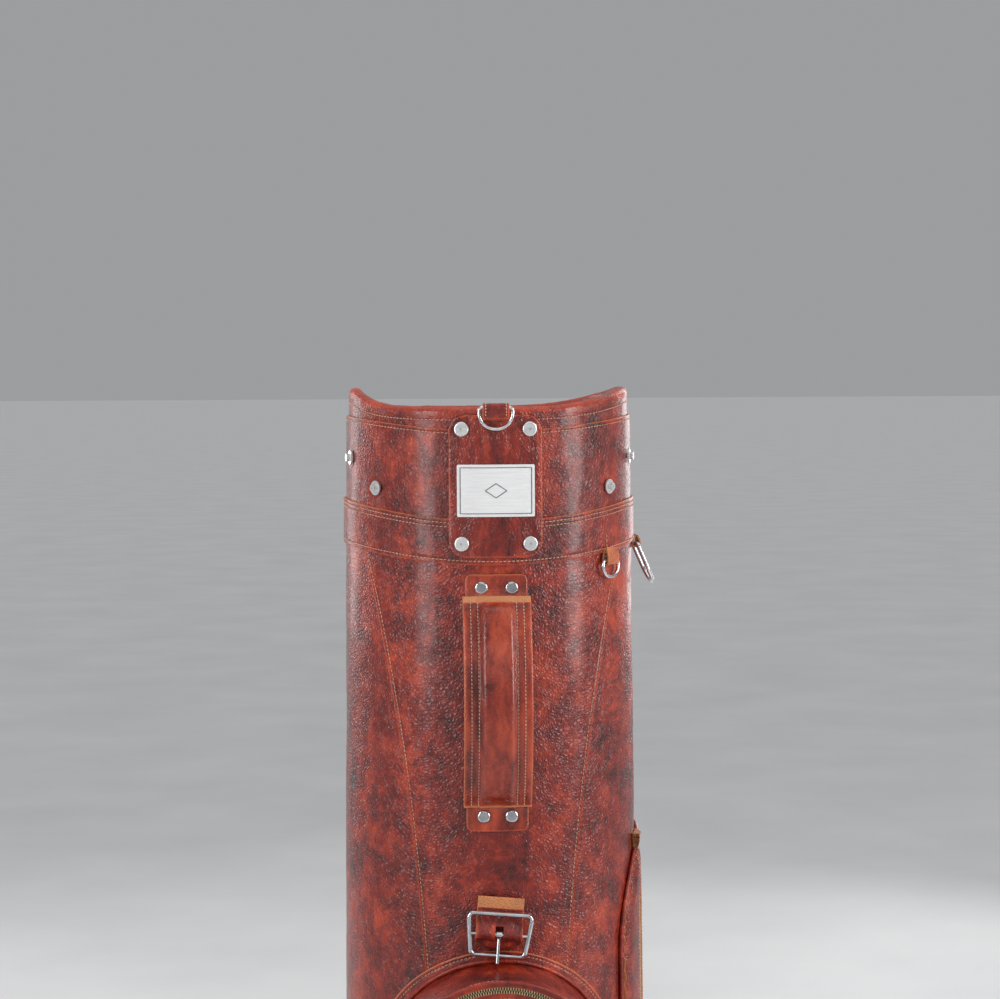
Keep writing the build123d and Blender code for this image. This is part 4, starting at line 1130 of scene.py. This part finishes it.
def ball_pocket():
    around = (EDGE_RUN, 0.07)

    def gusset(u, v, lift):
        """From the bag out to the front, drawn in between and slack low down."""
        x0, z0 = edge_at(u, 0)
        slack = 1.2 + 1.0 * ease(-(z0 - FOLD.z), 0, 0.15)
        pinch = -slack * MM * np.sin(math.pi * v)
        x, z = edge_at(u, lift + pinch)
        back = bag_y(x, z, 0.4 * MM)
        y = back + v * (POCKET_FACE + 1.2 * MM - back)
        return np.stack(np.broadcast_arrays(x, y, z), -1)

    leather("skin_pocket_gusset", gusset, around, "bag", MAIN, "main_leather", ("ball_pocket_gusset",),
            lift=-2.0 * MM, thickness=2.0 * MM, around=True, step=3.4 * MM, wrinkle=0.9 * MM,
            seams=(("high", 4.0 * MM),), group=("bag", "pocket"))

    def flange(u, v, lift):
        x, z = edge_at(u, 10.0 * MM - v * 7.4 * MM)
        return np.stack(np.broadcast_arrays(x, bag_y(x, z, lift), z), -1)

    leather("skin_pocket_flange", flange, (EDGE_RUN, 7.4 * MM), "bag", TRIM, "trim_leather",
            ("ball_pocket_flange",),
            lift=0.3 * MM, thickness=1.9 * MM, around=True, step=3.0 * MM, wrinkle=0.15 * MM, edge=0.8 * MM,
            seams=(("low", 3.0 * MM),), group=("bag", "pocket"))
    x, z = edge_at(np.arange(360) / 360, 1.6 * MM)
    cord = np.stack([x, bag_y(x, z, 2.2 * MM), z], -1)
    side = np.stack([EDGE_OUT[:, 0], 0 * x, EDGE_OUT[:, 1]], -1)
    tube("skin_pocket_piping", cord, 2.0 * MM, side, "bag", TRIM, ("ball_pocket_piping",))
    x, z = edge_at(np.arange(360) / 360, -0.6 * MM)
    cord = np.stack([x, 0 * x + POCKET_FACE + 0.7 * MM, z], -1)
    tube("skin_pocket_edge", cord, 1.5 * MM, side, "bag", TRIM)

    start, end = math.radians(-16.5), math.radians(196.5)

    def rim(u, v, lift):
        """The narrow strip outside the zip."""
        angle = end + u * (start - end)
        inner = ZIP_RADIUS + 2.0 * MM
        outer = np.where(np.sin(angle) >= 0, POCKET_HALF, POCKET_HALF / np.maximum(abs(np.cos(angle)), 0.5))
        radius = inner + v * (outer - inner - 1.0 * MM)
        radius, lift = np.broadcast_arrays(radius, lift)
        turned = FOLD.y + 0 * radius - lift
        return np.stack([FOLD.x + radius * np.cos(angle), turned, FOLD.z + radius * np.sin(angle)], -1)

    leather("skin_pocket_rim", rim, ((end - start) * 90 * MM, 4.5 * MM), "bag", TRIM, "main_leather", (),
            lift=-2.2 * MM, thickness=2.3 * MM, step=2.6 * MM, wrinkle=0.12 * MM, edge=0.9 * MM)

    # The front and the lid are one piece of leather: it follows the zip's circle over the top, and
    # widens to the whole front below the ends of the zip.
    lid = LID_RADIUS + 0.9 * MM
    slot = FOLD.z - lid * math.sin(math.radians(16.5))
    turn = np.linspace(math.radians(-16.5), math.pi / 2, 60)
    corner = np.linspace(0, math.pi / 2, 24)
    heights = np.concatenate([
        POCKET_BOTTOM + 0.8 * MM + POCKET_CORNER * (1 - np.cos(corner)),
        np.linspace(POCKET_BOTTOM + POCKET_CORNER + 4 * MM, slot - 2.5 * MM, 50),
        FOLD.z + lid * np.sin(turn),
    ])
    half = np.concatenate([
        POCKET_HALF - 1 * MM - POCKET_CORNER + POCKET_CORNER * np.sin(corner),
        np.full(50, POCKET_HALF - 1 * MM), lid * np.cos(turn),
    ])
    run = np.linspace(0, 1, len(heights))

    def front(u, v, lift):
        z = np.interp(v, run, heights)
        x = (2 * u - 1) * np.maximum(np.interp(z, heights, half), 0.2 * MM)
        x, z, lift = np.broadcast_arrays(x, z, lift)
        rise = pocket_crown(x, z)
        return np.stack([x, POCKET_FACE - lift - rise, z], -1)

    skin = leather("skin_pocket_front", front, (2 * POCKET_HALF, heights[-1] - heights[0]), None, MAIN,
                   "main_leather", ("ball_pocket_front", "ball_pocket_lid"),
                   lift=-2.2 * MM, thickness=2.3 * MM,
                   step=2.6 * MM, wrinkle=0.7 * MM, edge=1.1 * MM, worn=1.8 * MM)
    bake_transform(skin)

    pitch = 2.15 * MM / ZIP_RADIUS
    count = int((end - start) / pitch)
    whole = start + (np.arange(count) + 0.25) * pitch
    other = whole + pitch / 2
    on_lid = (other > 0.015) & (other < math.pi - 0.015)
    zip_teeth("zip_teeth_fixed", "bag", ZIP_RADIUS + 1.0 * MM, whole, False, ("ball_zip_fixed_row",))
    zip_teeth(
        "zip_teeth_lid", "pocket_lid", ZIP_RADIUS - 1.0 * MM, other[on_lid], True, ("ball_zip_lid_row",)
    )
    zip_teeth("zip_teeth_ends", "bag", ZIP_RADIUS - 1.0 * MM, other[~on_lid], True)
    zip_tape("zip_tape_fixed", "bag", ZIP_RADIUS + 0.2 * MM, ZIP_RADIUS + 5 * MM, start, end)
    zip_tape("zip_tape_lid", "pocket_lid", LID_RADIUS - 2 * MM, ZIP_RADIUS - 0.2 * MM, 0.01, math.pi - 0.01)
    arc = np.linspace(0.02, math.pi - 0.02, 160)
    for reach, body, place in ((LID_RADIUS - 3.4 * MM, "pocket_lid", "lid"),):
        path = np.stack([
            reach * np.cos(arc), 0 * arc + POCKET_FACE - 0.2 * MM, FOLD.z + reach * np.sin(arc)
        ], -1)
        sew((body, place), path, np.tile((0.0, -1.0, 0.0), (160, 1)))


# ---------------------------------------------------------------- side pocket
def side_tables():
    """Height and half width up the side pocket's outline."""
    corner = np.linspace(0, math.pi / 2, 24)
    t = np.linspace(0, 0.5, 70)
    heights = np.concatenate([
        SIDE_LOW.z + SIDE_CORNER * (1 - np.cos(corner)),
        np.linspace(SIDE_LOW.z + SIDE_CORNER + 4 * MM, SIDE_SPRING - 4 * MM, 50),
        SIDE_SPRING + 4 * SIDE_RISE * t * (1 - t),
    ])
    half = np.concatenate([
        SIDE_HALF - SIDE_CORNER + SIDE_CORNER * np.sin(corner), np.full(50, SIDE_HALF),
        SIDE_HALF * (1 - 6 * t**2 + 4 * t**3),
    ])
    return heights, half


def side_pocket():
    heights, half = side_tables()
    run = np.linspace(0, 1, len(heights))
    zip_low, zip_high = SIDE_ZIP[0].z, SIDE_ZIP[1].z
    zip_azimuth = math.radians(74.0)
    depth, flat_depth = 6.5 * MM, 3.0 * MM
    edge = np.concatenate([
        np.stack([SIDE_CENTRE + half, heights], -1), np.stack([SIDE_CENTRE - half, heights], -1)
    ])

    def slit(z):
        """Half width of the opening along the zip."""
        opens = 4.4 * MM * ease(z, zip_low - 2 * MM, zip_low + 8 * MM)
        return opens * (1 - ease(z, zip_high - 8 * MM, zip_high + 2 * MM))

    def border(z, way):
        y = SIDE_CENTRE + way * np.interp(z, heights, half)
        return np.arccos(np.clip(-y / radius_at(z), -1, 1))

    def filled(azimuth, z):
        """The slack pocket: rounded down at its edge, and fuller away from the zip."""
        y = -radius_at(z) * np.cos(azimuth)
        away = np.full(np.shape(y), 9.0)
        for ey, ez in edge[::3]:
            away = np.minimum(away, np.hypot(y - ey, z - ez))
        share = 1 - np.clip(away / (11 * MM), 0, 1)
        bulge = 0.6 * MM * ease(away, 10 * MM, 60 * MM)
        bulge = bulge * ease(abs(azimuth - zip_azimuth) * radius_at(z), 6 * MM, 45 * MM)
        round_side = ease(azimuth, math.radians(77), math.radians(84))
        full = flat_depth + (depth - flat_depth) * (1 - round_side)
        return full * np.sqrt(np.maximum(1 - share**2, 0)) + bulge * (0.8 + 0.5 * wobble(
            on_bag(azimuth, z, 0), 0.09, 11))

    def part(way):
        def place(u, v, lift):
            z = np.interp(v, run, heights)
            outer, inner = border(z, way), zip_azimuth + way * slit(z) / radius_at(z)
            outer = np.maximum(outer, inner) if way > 0 else np.minimum(outer, inner)
            left, right = (inner, outer) if way > 0 else (outer, inner)
            azimuth = left + u * (right - left)
            azimuth, z, lift = np.broadcast_arrays(azimuth, z, lift)
            ground = 0.3 * MM
            return on_bag(azimuth, z, ground + np.where(lift > 0, filled(azimuth, z) - 1.5 * MM + lift, 0))
        return place

    height = heights[-1] - heights[0]
    for name, way, width, nodes, side in (
        ("skin_side_pocket", 1, 0.125, ("side_pocket_panel",), "left"),
        ("skin_side_pocket_edge", -1, 0.035, (), "right"),
    ):
        leather(name, part(way), (width, height), "bag", MAIN, "main_leather", nodes, thickness=1.5 * MM,
                step=3.0 * MM, wrinkle=0.6 * MM, edge=0.7 * MM, seams=((side, 3.2 * MM),),
                group=("bag", "side_pocket"))
    points = np.concatenate([edge[:len(heights)], edge[len(heights):][::-1]])
    run_length = np.concatenate([[0], np.cumsum(np.linalg.norm(np.diff(points, axis=0), axis=1))])
    keep = np.concatenate([[True], np.diff(run_length) > 1e-6])
    at = np.linspace(0, run_length[-1], 300, endpoint=False)
    spots = np.stack([np.interp(at, run_length[keep], points[keep, k]) for k in (0, 1)], -1)
    along = unit(np.roll(spots, -1, 0) - np.roll(spots, 1, 0))
    spots = spots + np.stack([along[:, 1], -along[:, 0]], -1) * 1.7 * MM
    azimuth = np.arccos(np.clip(-spots[:, 0] / radius_at(spots[:, 1]), -1, 1))
    path = on_bag(azimuth, spots[:, 1], 2.0 * MM)
    out = unit(path * np.array((1, 1, 0)))
    tube("skin_side_piping", path, 1.9 * MM, out, "bag", TRIM, ("side_pocket_piping",))

    tape_place = wrap(
        lambda z: zip_azimuth - 5.2 * MM / radius_at(z), lambda z: zip_azimuth + 5.2 * MM / radius_at(z),
        flat(zip_low), flat(zip_high),
    )
    leather("side_zip_tape", tape_place, (10.4 * MM, zip_high - zip_low), "bag", TAPE, "divider_cloth",
            lift=depth - 2.4 * MM, thickness=0.6 * MM, step=4 * MM, wrinkle=0.0, edge=0.2 * MM, worn=0.1 * MM)
    points, quads = [], []
    count = int((zip_high - zip_low - 8 * MM) / (2.15 * MM))
    for n in range(2 * count):
        way = 1 if n % 2 else -1
        spot, across, up, out = frame_at(zip_azimuth, zip_low + 4 * MM + n * 1.075 * MM, depth - 1.3 * MM)
        for lift, shrink in ((0.95, 0.72), (0.6, 1.0), (-0.6, 1.0)):
            for a, b in ((-1.1, -0.45), (-1.1, 0.45), (1.9, 0.62), (1.9, -0.62)):
                points.append(spot + across * way * (a * (0.5 + 0.5 * shrink) + 1.0) * MM
                              + up * way * b * shrink * MM + out * lift * MM)
        faces = [(3, 2, 1, 0), (8, 9, 10, 11)]
        for level in (0, 4):
            faces += [
                (level + k, level + (k + 1) % 4, level + 4 + (k + 1) % 4, level + 4 + k) for k in range(4)
            ]
        quads += [tuple(12 * n + f for f in face) for face in faces]
    make_piece("side_zip_teeth", points, quads, "bag", BRASS, ("side_zip_rows",), sharp=25)


def base_welt():
    azimuth = np.arange(360) * math.tau / 360
    low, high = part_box("base_welt")
    path = on_bag(azimuth, (low.z + high.z) / 2 + 0.2 * MM, 0 * azimuth)
    radius = high.x - 2.1 * MM
    path[:, :2] *= radius / np.linalg.norm(path[:, :2], axis=1, keepdims=True)
    out = unit(path * np.array((1, 1, 0)))
    tube("skin_base_welt", path, 2.2 * MM, out, "bag", TRIM, ("base_welt",))


# ---------------------------------------------------------------- padding
def inflate(obj, cap, voxel=5 * MM, pressure=4.0, frames=20, smooth=1):
    """Fill a cushion: cloth with air pressure and no gravity, with each point's movement capped."""
    remesh = obj.modifiers.new("even", "REMESH")
    remesh.mode, remesh.voxel_size = "VOXEL", voxel
    apply_modifiers(obj)
    rest = np.array([v.co for v in obj.data.vertices])
    cloth = obj.modifiers.new("fill", "CLOTH")
    cloth.settings.use_pressure = True
    cloth.settings.uniform_pressure_force = pressure
    cloth.settings.effector_weights.gravity = 0.0
    cloth.settings.tension_stiffness = 30
    cloth.settings.compression_stiffness = 6
    cloth.point_cache.frame_start, cloth.point_cache.frame_end = 1, frames
    for step in range(1, frames + 1):
        bpy.context.scene.frame_set(step)
    apply_modifiers(obj)
    bpy.context.scene.frame_set(1)
    now = np.array([v.co for v in obj.data.vertices])
    move = now - rest
    size = np.linalg.norm(move, axis=1, keepdims=True)
    now = rest + move * np.minimum(1, cap / np.maximum(size, 1e-9))
    obj.data.vertices.foreach_set("co", now.astype(np.float32).ravel())
    finer = obj.modifiers.new("finer", "SUBSURF")
    finer.levels = smooth
    apply_modifiers(obj)
    obj.data.shade_smooth()
    return obj


def apply_modifiers(obj):
    """Bake what the modifiers give into the object's mesh."""
    view = bpy.context.evaluated_depsgraph_get()
    view.update()
    made = bpy.data.meshes.new_from_object(obj.evaluated_get(view))
    old = obj.data
    materials = list(old.materials)
    obj.modifiers.clear()
    obj.data = made
    made.name = obj.name
    made.materials.clear()
    for material in materials:
        made.materials.append(material)


def padded_bar(name, start, end, half_width, half_height, material):
    """A closed padded bar between two points, ready to be filled."""
    start, end = np.array(start), np.array(end)
    along = unit(end - start)
    side = unit(np.cross(along, (0, 0, 1.0)))
    up = np.array((0, 0, 1.0))
    turn = np.arange(20) * math.tau / 20
    rows = [
        (0.0, 0.45), (0.012, 0.85), *[(t, 1.0) for t in np.linspace(0.03, 0.97, 24)],
        (0.988, 0.85), (1.0, 0.45),
    ]
    points = np.array([
        start + (end - start) * t + grow * (
            side * half_width * squared(math.cos(a), 0.6) + up * half_height * squared(math.sin(a), 0.6)
        )
        for t, grow in rows for a in turn
    ])
    quads = grid_quads(len(rows), 20, False, True)
    fan = np.array([(0, a, a + 1, a + 2) for a in range(1, 18, 2)])
    quads = np.concatenate([quads, fan[:, ::-1], fan + 20 * (len(rows) - 1)])
    return make_piece(name, points, quads, None, material, sharp=80)


def dividers():
    """Pile-covered bars across the mouth, and cloth walls that hang from them."""
    low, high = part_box("divider_bars")
    sheet_low, sheet_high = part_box("divider_sheets")
    reach = high.x
    x_wall = 0.038
    z, half_tall = (low.z + high.z) / 2 - 0.6 * MM, (high.z - low.z) / 2 - 1.0 * MM
    half = 3.6 * MM
    reach_y = math.sqrt(reach**2 - x_wall**2) - 1.5 * MM
    plans = [("across", (-reach + 1.5 * MM, 0), (reach - 1.5 * MM, 0))]
    for x, y in itertools.product((-1, 1), (-1, 1)):
        name = ("right" if x > 0 else "left") + ("_back" if y > 0 else "_front")
        plans.append((name, (x * x_wall, y * (half + 0.8 * MM)), (x * x_wall, y * reach_y)))
    for name, start, end in plans:
        bar = padded_bar(f"divider_bar_{name}", (*start, z), (*end, z), half, half_tall, PLUSH)
        inflate(bar, 1.4 * MM, voxel=3.6 * MM, frames=12)
        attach(bar, "bag")
    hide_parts("divider_bars")
    first = True
    for name, start, end in plans:
        start, end = np.array(start), np.array(end)
        along = unit(end - start)
        side = np.array((-along[1], along[0]))
        width, height = float(np.linalg.norm(end - start)), sheet_high.z - sheet_low.z

        def place(u, v, lift):
            u, v, lift = np.broadcast_arrays(u, v, lift)
            spot = start + (end - start) * u[..., None]
            zz = sheet_low.z + v * height
            slack = 1.1 * MM * np.sin(3 * math.pi * u + 2 * v) * np.sin(math.pi * v) + 0.8 * MM * wobble(
                np.stack([*np.moveaxis(spot, -1, 0), zz], -1), 0.07, 12)
            spot = spot + side * (lift + slack * np.sin(math.pi * u))[..., None]
            return np.stack([spot[..., 0], spot[..., 1], zz], -1)

        sheet = leather(f"divider_sheet_{name}", place, (width, height), "bag", CLOTH, "divider_cloth",
                        ("divider_sheets",) if first else (), lift=-0.5 * MM, thickness=1.0 * MM, step=6 * MM,
                        wrinkle=0.0, edge=0.3 * MM)
        first = False


# ---------------------------------------------------------------- shoulder strap
def shoulder_strap():
    low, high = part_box("shoulder_strap")
    line_y = anchor("strap_swing").y
    bar_low, bar_high = low.z + 4.6 * MM, high.z - 4.6 * MM
    bow = high.y - 2.0 * MM - line_y
    middle, half = (bar_low + bar_high) / 2, (bar_high - bar_low) / 2
    radius = (half**2 + bow**2) / (2 * bow)
    centre_y = line_y + bow - radius
    reach = math.asin(half / radius)
    width = high.x - low.x

    def at(angle, out):
        return (0, centre_y + (radius + out) * math.cos(angle), middle + (radius + out) * math.sin(angle))

    fold = 52 * MM / radius
    shape = [at(a, -1.9 * MM) for a in np.linspace(reach - fold, reach - 0.03, 4)]
    shape += [(0, line_y - 2.6 * MM, bar_high), (0, line_y, bar_high + 3.1 * MM)]
    shape += [(0, line_y + 2.9 * MM, bar_high + 0.6 * MM)]
    shape += [at(a, 0.9 * MM) for a in np.linspace(reach - 0.03, -reach + 0.03, 25)]
    shape += [(0, line_y + 2.9 * MM, bar_low - 0.6 * MM), (0, line_y, bar_low - 3.1 * MM)]
    shape += [(0, line_y - 2.6 * MM, bar_low)]
    shape += [at(a, -1.9 * MM) for a in np.linspace(-reach + 0.03, -reach + fold, 4)]
    place, size = ribbon(shape, width, (-1, 0, 0))
    leather("skin_shoulder_strap", place, size, "strap", STRAP, "strap_leather", ("shoulder_strap",),
            lift=-1.1 * MM, thickness=2.2 * MM, step=3.2 * MM, wrinkle=0.3 * MM, edge=0.8 * MM, worn=1.8 * MM,
            seams=(("left", 3.4 * MM), ("right", 3.4 * MM)), group=("strap", "strap"))

    pad_low, pad_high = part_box("shoulder_pad")
    pad_half, spread_angle = (pad_high.x - pad_low.x) / 2, math.radians(25.2)
    turn = np.arange(28) * math.tau / 28
    points = []
    for share in np.linspace(-1, 1, 60):
        end = math.sqrt(max(0.0, 1 - abs(share) ** 14))
        for a in turn:
            across = (pad_half - 2.5 * MM) * squared(math.cos(a), 0.55)
            across = across * (0.62 + 0.38 * end) * (1 - 0.10 * share**2)
            out = 4.8 * MM * squared(math.sin(a), 0.55) * (0.30 + 0.70 * end)
            _, y, z = at(share * spread_angle, out - 0.9 * MM)
            points.append((across, y, z))
    quads = grid_quads(60, 28, False, True)
    fan = np.array([(0, a, a + 1, a + 2) for a in range(1, 26, 2)])
    quads = np.concatenate([quads, fan[:, ::-1], fan + 28 * 59])
    pad_hide = hide("pad_hide", grain=0.9, creases=0.9, gloss=0.38)
    pad = make_piece("shoulder_pad_skin", points, quads, None, pad_hide,
                     sharp=80)
    inflate(pad, 4.0 * MM, voxel=4.6 * MM, pressure=4.0)
    sewn_channels(pad, middle, centre_y, radius, spread_angle)
    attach(pad, "strap")
    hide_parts("shoulder_pad")


def sewn_channels(pad, middle, centre_y, radius, spread_angle):
    """Press stitched lines into the filled pad: one near each edge and three across."""
    count = len(pad.data.vertices)
    points = np.zeros(count * 3, np.float32)
    pad.data.vertices.foreach_get("co", points)
    points = points.reshape(-1, 3).astype(float)
    y, z = points[:, 1] - centre_y, points[:, 2] - middle
    angle, reach = np.arctan2(z, y), np.hypot(y, z)
    out = reach - radius
    half = abs(points[:, 0]).max()
    groove = np.exp(-(((abs(points[:, 0]) - half + 7 * MM) / (2.4 * MM)) ** 2))
    for share in (-0.55, 0.0, 0.55):
        groove = np.maximum(groove, np.exp(-(((angle - share * spread_angle) * radius / (3.2 * MM)) ** 2)))
    pressed = radius + out * (1 - 0.42 * groove)
    points[:, 1] = centre_y + pressed * np.cos(angle)
    points[:, 2] = middle + pressed * np.sin(angle)
    pad.data.vertices.foreach_set("co", points.astype(np.float32).ravel())
    pad.data.update()
    tree = BVHTree.FromPolygons([tuple(p) for p in points], [tuple(f.vertices) for f in pad.data.polygons])

    def on_pad(x, a):
        """The pad's outer face at a spot, found from outside."""
        way = Vector((0, math.cos(a), math.sin(a)))
        start = Vector((x, centre_y, middle)) + way * (radius + 0.03)
        hit, normal, _, _ = tree.ray_cast(start, -way, 0.06)
        return (hit, normal) if hit else (None, None)

    sweep = np.linspace(-0.9, 0.9, 120) * spread_angle
    lines = [[(side * (half - 7 * MM), a) for a in sweep] for side in (-1, 1)]
    for share in (-0.55, 0.0, 0.55):
        lines.append([(x, share * spread_angle) for x in np.linspace(-half + 8 * MM, half - 8 * MM, 30)])
    for line in lines:
        found = [on_pad(x, a) for x, a in line]
        found = [(hit, normal) for hit, normal in found if hit is not None]
        if len(found) > 4:
            path = np.array([hit for hit, _ in found])
            out = np.array([normal for _, normal in found])
            sew(("strap", "strap"), path + out * 0.1 * MM, out, 4.2 * MM)


# ---------------------------------------------------------------- studio
def studio():
    """Pale floor, a soft sun overhead, and soft boxes round the bag."""
    s = Shader("floor_paint", Specular_IOR_Level=0.3)
    cloud = s.noise(3.0, 5.0)
    colour = s.ramp(cloud, (0.3, (0.60, 0.60, 0.605)), (0.7, (0.66, 0.66, 0.66)))
    material = s.finish(colour, s.math("MULTIPLY_ADD", cloud, 0.1, 0.55), s.noise(300.0), 0.1 * MM, 0.2)
    reach = 400.0                     # far enough for its edge to meet the background
    side = np.linspace(-reach, reach, 10)
    X, Y = np.meshgrid(side, side)
    floor = make_piece("studio_floor", np.stack([X, Y, 0 * X], -1), grid_quads(10, 10), None, material)
    world = bpy.data.worlds.new("studio")
    world.use_nodes = True
    world.node_tree.nodes["Background"].inputs["Color"].default_value = (0.80, 0.81, 0.83, 1.0)
    world.node_tree.nodes["Background"].inputs["Strength"].default_value = 0.42
    bpy.context.scene.world = world
    bpy.context.scene.view_settings.view_transform = "Standard"
    lights = (
        ("left_box", -52, 1.7, 1.05, (0.42, 1.2), 15),
        ("right_box", 66, 1.7, 1.05, (0.42, 1.2), 20),
        ("front_fill", 4, 2.9, 1.7, (1.6, 1.2), 5),
        ("back_left", -138, 1.9, 1.1, (0.6, 1.3), 8),
        ("back_right", 150, 1.9, 1.1, (0.6, 1.3), 8),
    )
    sun = bpy.data.lights.new("overhead", "SUN")
    sun.energy, sun.angle = 0.9, math.radians(70)
    bpy.context.scene.collection.objects.link(bpy.data.objects.new("overhead", sun))
    for name, azimuth, distance, z, size, power in lights:
        lamp = bpy.data.lights.new(name, "AREA")
        lamp.shape, lamp.size, lamp.size_y, lamp.energy = "RECTANGLE", *size, power
        obj = bpy.data.objects.new(name, lamp)
        turn = math.radians(azimuth)
        obj.location = (distance * math.sin(turn), -distance * math.cos(turn), z)
        aim = Vector((0, 0, 0.55)) - obj.location
        obj.rotation_euler = aim.to_track_quat("-Z", "Y").to_euler()
        bpy.context.scene.collection.objects.link(obj)


def camera():
    """Eye level with the mouth, looking slightly down and a little from the bag's left."""
    data = bpy.data.cameras.new("camera")
    data.sensor_width = 36.0
    data.lens = 80.9
    data.clip_end = 1000.0
    obj = bpy.data.objects.new("camera", data)
    distance, height = 2.0, RIM + 11 * MM
    azimuth, pitch, yaw, roll = (math.radians(x) for x in (-2.8, -2.7, 0.31, 0.30))
    obj.location = (distance * math.sin(azimuth), -distance * math.cos(azimuth), height)
    obj.rotation_euler = Euler((math.pi / 2 + pitch, roll, azimuth - yaw), "XYZ")
    bpy.context.scene.collection.objects.link(obj)
    bpy.context.scene.camera = obj


body_panels()
cuff_belt_and_collar()
belt_bar()
rim_roll()
crest_patch()
plate_ornament()
top_ring_loop()
ring_tabs()
handle()
buckle_tab()
ball_pocket()
side_pocket()
base_welt()
dividers()
shoulder_strap()
make_threads(THREAD)
studio()
camera()
